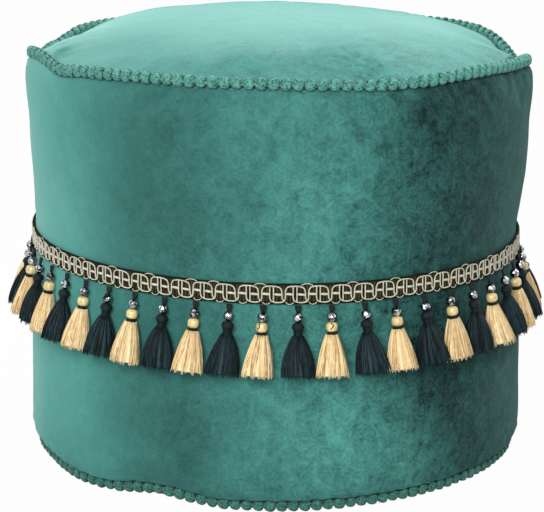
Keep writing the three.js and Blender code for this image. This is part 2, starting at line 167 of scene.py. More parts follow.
@dataclass
class Shell:
    """Closed surfaces, kept as whole arrays until they go into a mesh.

    Each entry of faces holds all faces with one number of corners, and the entry of uvs
    beside it holds a surface coordinate for each of those corners.
    """

    points: Points
    faces: list[Corners]
    uvs: list[Points]

    @classmethod
    def rings(
        cls,
        points: Points,
        wrapped: bool = False,
        lengths: Points | None = None,
        numbers: Points | None = None,
    ) -> "Shell":
        """Joins rows of points, each a closed ring, into quads.

        Corner (row, column) is joined to (row, column + 1), (row + 1, column + 1) and
        (row + 1, column), with columns counted round the ring.

        Args:
            points: Places as (rows, columns, 3), or (copies, rows, columns, 3) for many alike.
            wrapped: Joins the last row to the first; otherwise both get a flat face.
            lengths: V of each row; without it V runs from 0 to 1.
            numbers: U of each copy, from 0 to 1; without it U runs round the ring.

        Returns:
            The shell, with its faces turned outward.
        """
        many = points.reshape((-1, *points.shape[-3:]))
        copies, rows, columns, _ = many.shape
        bands = rows if wrapped else rows - 1
        low, left = np.meshgrid(np.arange(bands), np.arange(columns), indexing="ij")
        high, right = (low + 1) % rows, (left + 1) % columns
        quad = np.stack([low * columns + left, low * columns + right], axis=-1)
        upper = np.stack([high * columns + right, high * columns + left], axis=-1)
        quad = np.concatenate([quad, upper], axis=-1)
        starts = np.arange(copies)[:, None, None] * rows * columns
        faces = [(quad.reshape(1, -1, 4) + starts).reshape(-1, 4)]

        along = np.linspace(0, 1, rows) if lengths is None else np.asarray(lengths, float)
        step = along[-1] - along[-2]
        along = np.append(along, along[-1] + step)
        round_share = np.stack([left, left + 1, left + 1, left], -1) / columns
        along_share = along[np.stack([low, low, low + 1, low + 1], -1)]
        uv = np.stack([round_share, along_share], -1).reshape(1, -1, 4, 2).repeat(copies, axis=0)
        if numbers is not None:
            uv[..., 0] = np.asarray(numbers)[:, None, None]
        uvs = [uv.reshape(-1, 4, 2)]

        if not wrapped:
            ends = np.stack([np.arange(columns)[::-1], (rows - 1) * columns + np.arange(columns)])
            faces.append((ends[None] + starts).reshape(-1, columns))
            end_uv = np.zeros((copies, 2, columns, 2))
            end_uv[..., 1] = along[[0, rows - 1]][None, :, None]
            if numbers is not None:
                end_uv[..., 0] = np.asarray(numbers)[:, None, None]
            uvs.append(end_uv.reshape(-1, columns, 2))
        return cls(many.reshape(-1, 3), faces, uvs).faced_out()

    @classmethod
    def joined(cls, shells: Iterable["Shell"]) -> "Shell":
        """Puts several shells into one, as separate surfaces.

        Args:
            shells: The shells to join.

        Returns:
            The one shell.
        """
        parts = list(shells)
        starts = np.cumsum([0] + [len(part.points) for part in parts])
        faces = [block + start for part, start in zip(parts, starts) for block in part.faces]
        uvs = [block for part in parts for block in part.uvs]
        return cls(np.concatenate([part.points for part in parts]), faces, uvs)

    def faced_out(self) -> "Shell":
        """Turns all faces round if the volume they enclose, by the divergence sum, is negative.

        Returns:
            The shell itself.
        """
        volume = 0.0
        for block in self.faces:
            first = self.points[block[:, 0]]
            for corner in range(1, block.shape[1] - 1):
                second, third = self.points[block[:, corner]], self.points[block[:, corner + 1]]
                volume += float((first * np.cross(second, third)).sum())
        if volume < 0:
            self.faces = [block[:, ::-1] for block in self.faces]
            self.uvs = [block[:, ::-1] for block in self.uvs]
        return self

    def to_mesh(self, name: str, crease: float | None = None) -> bpy.types.Mesh:
        """Writes the shell into a new mesh.

        Args:
            name: The mesh's name.
            crease: Edges that turn by more than this angle are shown sharp.

        Returns:
            The mesh, shaded smooth, with the surface coordinates in a UV map named yarn.
        """
        mesh = bpy.data.meshes.new(name)
        corners = np.concatenate([block.ravel() for block in self.faces])
        counts = np.concatenate([np.full(len(block), block.shape[1]) for block in self.faces])
        mesh.vertices.add(len(self.points))
        mesh.vertices.foreach_set("co", self.points.astype(np.float32).ravel())
        mesh.loops.add(len(corners))
        mesh.loops.foreach_set("vertex_index", corners.astype(np.int32))
        mesh.polygons.add(len(counts))
        firsts = np.append(0, np.cumsum(counts)[:-1])
        mesh.polygons.foreach_set("loop_start", firsts.astype(np.int32))
        mesh.polygons.foreach_set("use_smooth", np.ones(len(counts), bool))
        uv = np.concatenate([block.reshape(-1, 2) for block in self.uvs])
        mesh.uv_layers.new(name="yarn").uv.foreach_set("vector", uv.astype(np.float32).ravel())
        mesh.update(calc_edges=True)
        mesh.validate()
        if crease is not None:
            mesh.set_sharp_from_angle(angle=math.radians(crease))
        return mesh


def tube(
    paths: Points,
    radius: npt.ArrayLike,
    sides: int,
    facing: Points,
    flatness: float = 1.0,
    wrapped: bool = False,
) -> Points:
    """Rings of points round one path or many.

    Each ring is path + radius (cos t . side + flatness sin t . face), where side is square
    to the path and to the facing direction, and face is square to the path and to side.

    Args:
        paths: Places as (..., steps, 3).
        radius: One radius, or one for each step.
        sides: Points on each ring.
        facing: A direction that no path runs along, for all steps or for each.
        flatness: Size of the ring along the facing direction, as a share of its width.
        wrapped: The path closes on itself.

    Returns:
        Places as (..., steps, sides, 3).
    """
    if wrapped:
        along = np.roll(paths, -1, axis=-2) - np.roll(paths, 1, axis=-2)
    else:
        along = np.gradient(paths, axis=-2)
    along = unit(along)
    side = unit(np.cross(along, np.broadcast_to(facing, paths.shape)))
    face = np.cross(side, along)
    turn = ring_turns(sides)
    reach = np.broadcast_to(np.asarray(radius, float), paths.shape[:-1])[..., None, None]
    wide = np.cos(turn)[:, None] * side[..., None, :]
    deep = flatness * np.sin(turn)[:, None] * face[..., None, :]
    return paths[..., None, :] + reach * (wide + deep)


def travelled(path: Points) -> Points:
    """Distance along a path at each of its steps, in centimetres, for a yarn's twist."""
    steps = np.linalg.norm(np.diff(path, axis=0), axis=1)
    return np.append(0, np.cumsum(steps)) * 100


def eased(points: Curve, steps: int) -> Points:
    """A smooth curve through a few points, by the Catmull-Rom cubic between each two.

    Args:
        points: The points that the curve goes through.
        steps: Points of the curve between each two of them.

    Returns:
        The curve's points, the first and last point included.
    """
    knots = np.asarray(points, float)
    padded = np.concatenate([2 * knots[:1] - knots[1:2], knots, 2 * knots[-1:] - knots[-2:-1]])
    before, start, end, after = (padded[i : i + len(knots) - 1, None] for i in range(4))
    share = (np.arange(steps) / steps)[None, :, None]
    linear = (end - before) * share
    square = (2 * before - 5 * start + 4 * end - after) * share**2
    cube = (3 * start - before - 3 * end + after) * share**3
    curve = (2 * start + linear + square + cube) / 2
    return np.concatenate([curve.reshape(-1, knots.shape[1]), knots[-1:]])


def doubled(field_values: Points) -> Points:
    """A field on a closed grid, given at twice as many columns and rows.

    Each new value is (9 (a + b) - (c + d)) / 16 of the two nearest, a and b, and the two
    beyond them, along the ring first and then up the rows.

    Args:
        field_values: Values as (rows, columns, 3).

    Returns:
        Values as (2 rows - 1, 2 columns, 3), with the given ones in their places.
    """
    rows, columns, size = field_values.shape
    wide = np.empty((rows, 2 * columns, size))
    wide[:, ::2] = field_values
    near = field_values + np.roll(field_values, -1, axis=1)
    far = np.roll(field_values, 1, axis=1) + np.roll(field_values, -2, axis=1)
    wide[:, 1::2] = (9 * near - far) / 16
    ends = np.concatenate([wide[:1], wide, wide[-1:]])
    tall = np.empty((2 * rows - 1, 2 * columns, size))
    tall[::2] = wide
    tall[1::2] = (9 * (ends[1:-2] + ends[2:-1]) - (ends[:-3] + ends[3:])) / 16
    return tall


def turned(radius: Points, height: Points, sides: int) -> Points:
    """A profile carried round the local Z axis, (r cos t, r sin t, h), as (rows, sides, 3).

    Args:
        radius: Radius of each row.
        height: Height of each row.
        sides: Points round each row.

    Returns:
        The rings.
    """
    turn = ring_turns(sides)
    level = np.stack([np.cos(turn), np.sin(turn), np.zeros(sides)], axis=-1)
    points = radius[:, None, None] * level
    points[..., 2] = height[:, None]
    return points


def wire_operator(operation: str, reflected: bool = False) -> Callable[..., "Wire"]:
    """Makes one of Wire's operators.

    Args:
        operation: The Math node's operation.
        reflected: The number stands before the wire, as in 1 - mask.

    Returns:
        The operator, which adds the node to the wire's bench.
    """

    def apply(wire: "Wire", other: "Wire | float") -> "Wire":
        """The Math node on the wire and the other value, in the order in which they stand."""
        return wire.maths(operation, *((other, wire) if reflected else (wire, other)))

    return apply


class Wire:
    """A value in a shader. Python's operators on it add Math nodes to its bench."""

    def __init__(self, bench: "FinishBench", socket: bpy.types.NodeSocket) -> None:
        """Holds one output socket of a node on a bench."""
        self.bench = bench
        self.socket = socket

    def also(self, output: str) -> "Wire":
        """Another output of the same node."""
        return Wire(self.bench, self.socket.node.outputs[output])

    def maths(self, operation: str, *values: "Wire | float") -> "Wire":
        """A Math node of that operation on the values."""
        inputs = dict(enumerate(values))
        return self.bench.node("ShaderNodeMath", {"operation": operation}, inputs)

    __add__ = wire_operator("ADD")
    __radd__ = wire_operator("ADD", reflected=True)
    __sub__ = wire_operator("SUBTRACT")
    __rsub__ = wire_operator("SUBTRACT", reflected=True)
    __mul__ = wire_operator("MULTIPLY")
    __rmul__ = wire_operator("MULTIPLY", reflected=True)
    __truediv__ = wire_operator("DIVIDE")
    __rtruediv__ = wire_operator("DIVIDE", reflected=True)
    __pow__ = wire_operator("POWER")
    __rpow__ = wire_operator("POWER", reflected=True)

    def wave(self) -> "Wire":
        """One full sine wave for each 1 of the value, from 0 to 1."""
        return self.maths("SINE", self * FULL_TURN) * 0.5 + 0.5

    def held(self) -> "Wire":
        """The value held between 0 and 1."""
        return self.bench.node("ShaderNodeClamp", {}, {0: self})


class FinishBench:
    """The nodes of one material, or of the world."""

    def __init__(self, owner: bpy.types.Material | bpy.types.World) -> None:
        """Empties the owner's node tree."""
        owner.use_nodes = True
        self.owner = owner
        self.tree = owner.node_tree
        self.tree.nodes.clear()

    @classmethod
    def named(cls, name: str) -> "FinishBench":
        """A bench for a new material."""
        return cls(bpy.data.materials.new(name))

    def node(
        self,
        kind: str,
        settings: Mapping[str, Any] | None = None,
        inputs: Mapping[str | int, Any] | None = None,
        output: str | int = 0,
    ) -> Wire:
        """Adds a node, sets its properties first and then fills its sockets.

        Args:
            kind: The node's type.
            settings: Its properties; stops is a ramp's list of (position, grey or colour).
            inputs: A number, colour or wire for each socket, by name or place.
            output: The output that the returned wire holds.

        Returns:
            A wire on the chosen output.
        """
        made = self.tree.nodes.new(kind)
        for key, value in (settings or {}).items():
            if key == "stops":
                self._set_stops(made.color_ramp, value)
            else:
                setattr(made, key, value)
        for key, value in (inputs or {}).items():
            if isinstance(value, Wire):
                self.tree.links.new(value.socket, made.inputs[key])
            else:
                made.inputs[key].default_value = value
        return Wire(self, made.outputs[output] if made.outputs else made.inputs[0])

    @staticmethod
    def _set_stops(ramp: bpy.types.ColorRamp, stops: Sequence[tuple[float, Any]]) -> None:
        """Gives a ramp its stops, each a position and a grey share or a colour.

        Args:
            ramp: The ramp.
            stops: Its stops.
        """
        while len(ramp.elements) < len(stops):
            ramp.elements.new(1.0)
        for element, (position, value) in zip(ramp.elements, stops):
            element.position = position
            element.color = value if isinstance(value, tuple) else (value, value, value, 1.0)

    def place(self) -> Wire:
        """Where a point is on the object, in metres."""
        return self.node("ShaderNodeTexCoord", output="Object")

    def yarn(self) -> tuple[Wire, Wire]:
        """The two surface coordinates of the piece's own UV map."""
        uv = self.node("ShaderNodeUVMap", {"uv_map": "yarn"})
        split = self.node("ShaderNodeSeparateXYZ", {}, {0: uv})
        return split, split.also("Y")

    def noise(self, place: Wire, size: float, detail: float = 2.0, twist: float = 0.0) -> Wire:
        """Cloudy noise from 0 to 1.

        Args:
            place: Where it is read.
            size: Width of a cloud in metres.
            detail: How many finer layers it has.
            twist: How far the clouds are pulled out of shape.

        Returns:
            The noise.
        """
        inputs = {"Vector": place, "Scale": 1 / size, "Detail": detail, "Distortion": twist}
        return self.node("ShaderNodeTexNoise", {}, inputs)

    def vector(self, operation: str, *values: Any, output: str = "Vector") -> Wire:
        """A Vector Math node of that operation on wires or triples of numbers."""
        inputs = dict(enumerate(values))
        return self.node("ShaderNodeVectorMath", {"operation": operation}, inputs, output)

    def wandered(self, place: Wire, size: float, reach: float) -> Wire:
        """The place, shifted by up to half the reach each way by clouds of that size.

        Args:
            place: The place.
            size: Width of a cloud in metres.
            reach: The whole reach in metres.

        Returns:
            The shifted place.
        """
        inputs = {"Vector": place, "Scale": 1 / size, "Detail": 3.0}
        cloud = self.node("ShaderNodeTexNoise", {}, inputs, output="Color")
        shift = self.vector("SUBTRACT", cloud, (0.5, 0.5, 0.5))
        return self.vector("MULTIPLY_ADD", shift, (reach, reach, reach), place)

    def near(self, place: Wire, centre: Points, size: Sequence[float]) -> Wire:
        """1 at a centre, falling off all round it: exp(-|(place - centre) / size|^2).

        Args:
            place: The place.
            centre: The centre.
            size: How far it reaches along each axis.

        Returns:
            The nearness.
        """
        away = self.vector("SUBTRACT", place, tuple(float(number) for number in centre))
        away = self.vector("DIVIDE", away, tuple(size))
        square = self.vector("DOT_PRODUCT", away, away, output="Value")
        return square.maths("EXPONENT", square * -1.0)

    def stroked(self, place: Wire, stroke: "Stroke") -> Wire:
        """How much paler one stroke makes the colour at a place: painted light and shade, on the
        wall together with nap marks.

        Args:
            place: The place.
            stroke: The stroke.

        Returns:
            What it adds to the pile's share.
        """
        centre = around(stroke.azimuth, stroke.radius, stroke.height)
        size = (stroke.width, stroke.width, stroke.tall)
        return self.near(place, centre, size) * stroke.pale

    def stretched(self, place: Wire, scale: tuple[float, float, float]) -> Wire:
        """The place, scaled along each axis."""
        return self.node("ShaderNodeMapping", {}, {"Vector": place, "Scale": scale})

    def mixed(self, share: Wire | float, low: Wire | Colour, high: Wire | Colour) -> Wire:
        """A colour that goes from low to high as the share goes from 0 to 1."""
        settings = {"data_type": "RGBA", "clamp_factor": True}
        return self.node("ShaderNodeMix", settings, {0: share, 6: low, 7: high}, output=2)

    def bump(self, height: Wire, depth: float, strength: float = 1.0) -> Wire:
        """A normal bent by a height, with the depth in metres between 0 and 1 of the height."""
        inputs = {"Height": height, "Distance": depth, "Strength": strength}
        return self.node("ShaderNodeBump", {}, inputs)

    def finished(self, **sockets: Any) -> bpy.types.Material:
        """Closes the material with a Principled shader.

        Args:
            sockets: A value or wire for each of its sockets, with _ for a space.

        Returns:
            The material.
        """
        inputs = {key.replace("_", " "): value for key, value in sockets.items()}
        shader = self.node("ShaderNodeBsdfPrincipled", {}, inputs)
        self.node("ShaderNodeOutputMaterial", {}, {"Surface": shader})
        return self.owner


@dataclass(frozen=True)
class Stroke:
    """A soft painted patch, paler or, below zero, darker: on the velvet's wall partly nap
    marks and partly painted light and shade, elsewhere painted light and shade.

    It lies at an azimuth, radius and height, and fades over its width and its tallness.
    """

    azimuth: float
    radius: float
    height: float
    width: float
    tall: float
    pale: float


@dataclass(frozen=True)
class Velvet:
    """Cut velvet: its pile has nap marks, painted light and shade, and painted sheen."""

    deep: Colour = paint(2, 25, 28)
    pale: Colour = paint(96, 180, 170)
    glint: Colour = paint(150, 222, 212)
    # A pale colour painted on the crown and on the wall's left side, as painted light and painted
    # sheen.
    painted_sheen: Colour = paint(150, 196, 190)
    crown_sheen_share: float = 0.53
    crown_sheen_reach: float = 0.20
    crown_edge: float = 0.2112
    crown_foot: float = 0.30
    crown_edge_steepness: float = 300.0
    crown_foot_steepness: float = 50.0
    # The crown's pile is made a little paler: painted light from the lamps above.
    crown_painted_light: float = 0.03
    darkest: float = 0.055
    glint_weight: float = 0.26
    glint_spread: float = 0.5
    even: float = 0.405
    mark_size: float = 0.11
    mark_reach: float = 0.07
    patch_size: float = 0.026
    crush_size: float = 0.009
    streak_size: float = 0.006
    streak_shape: tuple[float, float, float] = (1.0, 1.0, 0.3)
    grain_size: float = 0.0021
    patch_weight: float = 0.55
    crush_weight: float = 0.5
    streak_weight: float = 0.2
    grain_weight: float = 0.5
    untouched_marks: float = 0.14
    handled_marks: float = 1.25
    marks_on_pale: float = 1.4
    marks_on_deep: float = 0.40
    relief_depth: float = 0.0009
    crushed_azimuth: float = 42.0
    crushed_reach: float = 0.20
    crushed_height: float = 0.14
    # Wall strokes: nap marks together with painted light and shade, paler on the left and darker
    # towards the right and under the top trim there.
    wall_nap_light_and_shade: tuple[Stroke, ...] = (
        Stroke(-84, 0.222, 0.200, 0.125, 0.40, 0.66),
        Stroke(-26, 0.222, 0.280, 0.062, 0.17, -0.20),
        Stroke(-23, 0.222, 0.060, 0.050, 0.09, -0.16),
        Stroke(-48, 0.222, 0.070, 0.050, 0.06, 0.16),
        Stroke(12, 0.222, 0.240, 0.045, 0.08, 0.10),
        Stroke(14, 0.222, 0.065, 0.062, 0.07, 0.19),
        Stroke(27, 0.222, 0.215, 0.055, 0.07, -0.12),
        Stroke(40, 0.222, 0.110, 0.060, 0.05, -0.15),
        Stroke(34, 0.222, 0.045, 0.045, 0.05, 0.20),
        Stroke(66, 0.222, 0.200, 0.135, 0.50, -0.47),
        Stroke(52, 0.222, 0.090, 0.075, 0.07, -0.20),
        Stroke(50, 0.222, 0.345, 0.080, 0.036, -0.22),
        Stroke(150, 0.222, 0.240, 0.065, 0.16, -0.18),
        Stroke(-140, 0.222, 0.180, 0.060, 0.20, -0.12),
    )
    # Crown strokes steer the painted sheen: painted shade along the front rim and beside the folds
    # near the left corner, painted light on the sides.
    crown_light_and_shade: tuple[Stroke, ...] = (
        Stroke(-9, 0.190, 0.368, 0.036, 0.02, -0.35),
        Stroke(-30, 0.195, 0.368, 0.040, 0.02, -0.16),
        Stroke(17, 0.190, 0.368, 0.046, 0.02, -0.35),
        Stroke(92, 0.165, 0.380, 0.080, 0.04, 0.34),
        Stroke(-116, 0.170, 0.380, 0.060, 0.04, 0.24),
        Stroke(-50, 0.150, 0.372, 0.030, 0.04, -0.12),
        Stroke(-67, 0.188, 0.362, 0.011, 0.04, -0.45),
        Stroke(-78, 0.186, 0.362, 0.013, 0.04, -0.28),
    )
    # Painted sheen on the wall's left side.
    edge_painted_sheen: Stroke = Stroke(-90, 0.222, 0.200, 0.075, 0.40, 1.0)

    @staticmethod
    def brushed(bench: FinishBench, place: Wire, strokes: Iterable[Stroke]) -> Wire:
        """The sum of some strokes at a place: painted light and shade, on the wall together with
        nap marks.

        Args:
            bench: The bench of the velvet's nodes.
            place: The place, already wandered so that the strokes get uneven edges.
            strokes: The strokes to add up.

        Returns:
            How much paler they make the pile there.
        """
        total: Any = 0.0
        for stroke in strokes:
            total = total + bench.stroked(place, stroke)
        return total

    def material(self) -> bpy.types.Material:
        """Pile colour by strokes of nap marks and painted light and shade, patches, crush marks,
        upright streaks and fine grain.

        The pile goes from deep to pale by the even share plus the strokes, and on the crown
        by a paler share of its own, which is painted light. The marks are added to it,
        strongest round one azimuth where the cloth was handled most, and stronger on pale
        pile than on deep. Last a pale colour is mixed in on the crown, most at its middle and
        least along its front rim, and on the wall's left side: painted light and painted sheen.

        Returns:
            The material.
        """
        bench = FinishBench.named("teal_velvet")
        place = bench.place()
        wandered = bench.wandered(place, self.mark_size, self.mark_reach)
        patches = bench.noise(place, self.patch_size, detail=6, twist=1.2) - 0.5
        crush = bench.noise(place, self.crush_size, detail=4, twist=1.5) - 0.5
        drawn = bench.stretched(place, self.streak_shape)
        streaks = bench.noise(drawn, self.streak_size, detail=3) - 0.5
        grain = bench.noise(place, self.grain_size, detail=3) - 0.5
        reach = self.crushed_reach
        middle = around(self.crushed_azimuth, reach, self.crushed_height)
        handled = bench.near(place, middle, (reach, reach, 2 * reach))
        marks = patches * self.patch_weight + crush * self.crush_weight
        marks = marks + streaks * self.streak_weight + grain * self.grain_weight
        height = bench.node("ShaderNodeSeparateXYZ", {}, {0: place}, output="Z")
        level = bench.vector("MULTIPLY", place, (1.0, 1.0, 0.0))
        radius = bench.vector("LENGTH", level, output="Value")
        inside = ((self.crown_edge - radius) * self.crown_edge_steepness).held()
        above = ((height - self.crown_foot) * self.crown_foot_steepness).held()
        on_crown = inside * above
        share = self.brushed(bench, wandered, self.wall_nap_light_and_shade) * (1.0 - on_crown)
        share = share + on_crown * self.crown_painted_light + self.even
        share = share.maths("MAXIMUM", share, self.darkest)
        strength = self.untouched_marks + handled * self.handled_marks
        share = share + marks * strength * (share.held() * self.marks_on_pale + self.marks_on_deep)
        # Painted light and painted sheen: a pale colour mixed in on the crown and on the wall's
        # left side.
        reach = self.crown_sheen_reach
        dome = bench.near(level, around(0, 0, 0), (reach, reach, 1.0))
        painted_sheen = self.brushed(bench, wandered, self.crown_light_and_shade) + dome * self.crown_sheen_share
        painted_sheen = painted_sheen * on_crown + self.brushed(bench, wandered, [self.edge_painted_sheen])
        pile = bench.mixed(painted_sheen, bench.mixed(share, self.deep, self.pale), self.painted_sheen)
        relief = bench.bump(patches * 0.5 + crush * 0.4 + grain, self.relief_depth, 0.55)
        return bench.finished(
            Base_Color=pile, Roughness=0.85, Normal=relief, Specular_IOR_Level=0.15,
            Sheen_Weight=self.glint_weight, Sheen_Roughness=self.glint_spread,
            Sheen_Tint=self.glint,
        )


@dataclass(frozen=True)
class PlainCloth:
    """Plain woven cloth, over one and under one."""

    name: str
    thread: Colour
    shade: Colour
    thread_size: float = 0.0009
    wear_size: float = 0.06
    weave_depth: float = 0.0002

    def material(self) -> bpy.types.Material:
        """Threads both ways by two sine waves, and faint clouds of wear.

        Returns:
            The material.
        """
        bench = FinishBench.named(self.name)
        place = bench.place()
        axes = bench.node("ShaderNodeSeparateXYZ", {}, {0: place})
        across = (axes / self.thread_size).wave()
        along = (axes.also("Y") / self.thread_size).wave()
        weave = across * along
        cloud = bench.noise(place, self.wear_size, detail=4)
        share = weave * 0.55 + cloud * 0.6
        return bench.finished(
            Base_Color=bench.mixed(share, self.shade, self.thread), Roughness=0.9,
            Normal=bench.bump(weave, self.weave_depth, 0.6),
        )


@dataclass(frozen=True)
class KnottedYarn:
    """Soft knotted yarn, as on the balls of the trims."""

    name: str = "trim_yarn"
    # The hollow colour is painted shade in the knots' holes and where balls meet.
    hollow: Colour = paint(12, 58, 53)
    crest: Colour = paint(98, 168, 155)
    fuzz: Colour = paint(196, 236, 226)
    knot_size: float = 0.0015
    knot_depth: float = 0.0008
    loop_weight: float = 0.85
    rough_weight: float = 0.7
    # Painted shade where neighbouring balls meet.
    gap_shade_weight: float = 0.6
    # Painted light on one side of the trim.
    side_painted_light: Stroke = Stroke(66, 0.215, 0.360, 0.120, 0.08, 0.38)

    def material(self) -> bpy.types.Material:
        """Looped yarn by Voronoi cells; painted shade in each small hole and where balls meet,
        painted light on one side.

        Returns:
            The material.
        """
        bench = FinishBench.named(self.name)
        place = bench.place()
        rough = bench.noise(place, self.knot_size * 3, detail=2)
        inputs = {"Vector": place, "Scale": 1 / self.knot_size, "Randomness": 0.8}
        knots = bench.node("ShaderNodeTexVoronoi", {"feature": "SMOOTH_F1"}, inputs)
        across, _ = bench.yarn()
        sideways = across.maths("COSINE", across * FULL_TURN)
        gap_shade = (sideways * sideways) ** 2.0
        loop = (knots * 2.4 - 0.2).held()
        share = loop * self.loop_weight + (rough - 0.5) * self.rough_weight
        share = share - gap_shade * self.gap_shade_weight + bench.stroked(place, self.side_painted_light)
        relief = bench.bump(loop, self.knot_depth, 0.9)
        return bench.finished(
            Base_Color=bench.mixed(share, self.hollow, self.crest), Roughness=0.88,
            Normal=relief, Specular_IOR_Level=0.2,
            Sheen_Weight=0.35, Sheen_Roughness=0.4, Sheen_Tint=self.fuzz,
        )


@dataclass(frozen=True)
class RibbedTape:
    """The braid's ground: upright ribs, black with olive threads between."""

    name: str = "black_weave"
    dark: Colour = paint(4, 6, 4)
    olive: Colour = paint(74, 70, 42)
    ribs: int = 511
    picks: float = 14.0
    mottle_size: float = 0.004
    rib_depth: float = 0.0004

    def material(self) -> bpy.types.Material:
        """Ribs by a sine round the drum, crossed by finer picks up the tape.

        Returns:
            The material.
        """
        bench = FinishBench.named(self.name)
        across, up = bench.yarn()
        rib = (across * float(self.ribs)).wave()
        pick = (up * self.picks + across * float(self.ribs // 2)).wave()
        mottle = bench.noise(bench.place(), self.mottle_size, detail=2)
        share = rib * 0.75 + pick * 0.25 + (mottle - 0.6) * 1.4
        relief = bench.bump(rib * 0.7 + pick * 0.3, self.rib_depth, 0.9)
        return bench.finished(
            Base_Color=bench.mixed(share, self.dark, self.olive), Roughness=0.78,
            Normal=relief, Specular_IOR_Level=0.1,
        )


@dataclass(frozen=True)
class TwistedCord:
    """A cord of plied thread. Its V runs along it in centimetres, so the twist keeps its size."""

    name: str
    # The hollow colour is painted shade in the grooves between plies and twists.
    hollow: Colour
    crest: Colour
    plies: float = 2.0
    twists: float = 6.0
    gloss: float = 0.45
    shine: float = 0.5
    mottle_size: float = 0.003
    ply_depth: float = 0.00025

    def material(self) -> bpy.types.Material:
        """Plies by a sine that climbs round the cord: deep between them, as painted shade, pale on
        each.

        Returns:
            The material.
        """
        bench = FinishBench.named(self.name)
        across, along = bench.yarn()
        ply = (across * self.plies + along * self.twists).wave()
        mottle = bench.noise(bench.place(), self.mottle_size, detail=2)
        share = ply * 0.75 + (mottle - 0.35) * 0.6
        return bench.finished(
            Base_Color=bench.mixed(share, self.hollow, self.crest), Roughness=self.gloss,
            Normal=bench.bump(ply, self.ply_depth, 0.8), Specular_IOR_Level=self.shine,
        )


@dataclass(frozen=True)
class StrandYarn:
    """Loose yarn of a tassel's skirt. U is a strand's own number and V runs down to its tip."""

    name: str
    shade: Colour
    body: Colour
    light: Colour
    tip: Colour
    gloss: float = 0.6
    fuzz_weight: float = 0.3
    fuzz: Colour = paint(255, 240, 210)
    cloud_size: float = 0.005
    fibre_size: float = 0.0006
    fibre_depth: float = 0.0002
    fibre_shape: tuple[float, float, float] = (1.0, 1.0, 0.12)
    frayed_from: float = 0.93

    def material(self) -> bpy.types.Material:
        """Each strand has its own lightness by white noise on its number, and a frayed tip.

        Returns:
            The material.
        """
        bench = FinishBench.named(self.name)
        number, along = bench.yarn()
        lot = bench.node("ShaderNodeTexWhiteNoise", {"noise_dimensions": "1D"}, {"W": number})
        cloud = bench.noise(bench.place(), self.cloud_size, detail=2)
        share = lot * 0.75 + cloud * 0.5 - 0.12
        stops = [(0.0, self.shade), (0.45, self.body), (1.0, self.light)]
        colour = bench.node("ShaderNodeValToRGB", {"stops": stops}, {0: share})
        frayed = ((along - self.frayed_from) * 18.0).held()
        drawn = bench.stretched(bench.place(), self.fibre_shape)
        fibres = bench.noise(drawn, self.fibre_size, detail=1)
        relief = bench.bump(fibres, self.fibre_depth, 0.6)
        return bench.finished(
            Base_Color=bench.mixed(frayed * 0.8, colour, self.tip), Roughness=self.gloss,
            Normal=relief, Sheen_Weight=self.fuzz_weight, Sheen_Roughness=0.4,
            Sheen_Tint=self.fuzz, Specular_IOR_Level=0.18,
        )


@dataclass(frozen=True)
class DarkBead:
    """A dark polished bead, metallic, with the small dents of a stamped one."""

    name: str = "dark_metal"
    dark: Colour = paint(20, 22, 26)
    light: Colour = paint(206, 208, 212)
    tarnish_size: float = 0.0034
    dent_size: float = 0.0028
    dent_depth: float = 0.0012

    def material(self) -> bpy.types.Material:
        """Clouds of polish and tarnish, and shallow dents that break up the highlights.

        Returns:
            The material.
        """
        bench = FinishBench.named(self.name)
        place = bench.place()
        cloud = bench.noise(place, self.tarnish_size, detail=2, twist=0.8)
        tarnish = ((cloud - 0.5) * 4.5 + 0.42).held()
        dents = bench.noise(place, self.dent_size, detail=0, twist=0.4)
        relief = bench.bump(dents, self.dent_depth, 0.9)
        return bench.finished(
            Base_Color=bench.mixed(tarnish, self.dark, self.light), Metallic=1.0,
            Roughness=0.08 + tarnish * 0.12, Normal=relief,
        )


@dataclass(frozen=True)
class PaleWood:
    """A turned bead of pale wood under clear lacquer."""

    name: str = "pale_wood"
    early: Colour = paint(232, 212, 150)
    late: Colour = paint(170, 132, 74)
    grain_size: float = 0.0016
    grain_shape: tuple[float, float, float] = (1.0, 1.0, 0.25)
    grain_depth: float = 0.0001

    def material(self) -> bpy.types.Material:
        """Grain by noise drawn out along the drum's height, with the lacquer as a coat.

        Returns:
            The material.
        """
        bench = FinishBench.named(self.name)
        place = bench.stretched(bench.place(), self.grain_shape)
        grain = bench.noise(place, self.grain_size, detail=3, twist=0.6)
        share = (grain - 0.42) * 2.2
        return bench.finished(
            Base_Color=bench.mixed(share, self.early, self.late), Roughness=0.38,
            Normal=bench.bump(grain, self.grain_depth, 0.4), Coat_Weight=0.5, Coat_Roughness=0.12,
        )


@dataclass(frozen=True)
class BrushedMetal:
    """Cast zinc of the zip's slider, brushed along its length."""

    name: str = "slider_zinc"
    dark: Colour = paint(92, 92, 94)
    light: Colour = paint(176, 174, 170)
    scratch_size: float = 0.0005
    scratch_shape: tuple[float, float, float] = (0.05, 1.0, 1.0)
    scratch_depth: float = 0.0001

    def material(self) -> bpy.types.Material:
        """Fine scratches along X by drawn-out noise.

        Returns:
            The material.
        """
        bench = FinishBench.named(self.name)
        drawn = bench.stretched(bench.place(), self.scratch_shape)
        scratches = bench.noise(drawn, self.scratch_size, detail=2)
        return bench.finished(
            Base_Color=bench.mixed(scratches, self.dark, self.light), Metallic=1.0,
            Roughness=0.25 + scratches * 0.25,
            Normal=bench.bump(scratches, self.scratch_depth, 0.4),
        )


@dataclass(frozen=True)
class Dent:
    """A place where a seam sags, lifts or is pushed out, as a share of the full depth."""

    azimuth: float
    width: float
    share: float


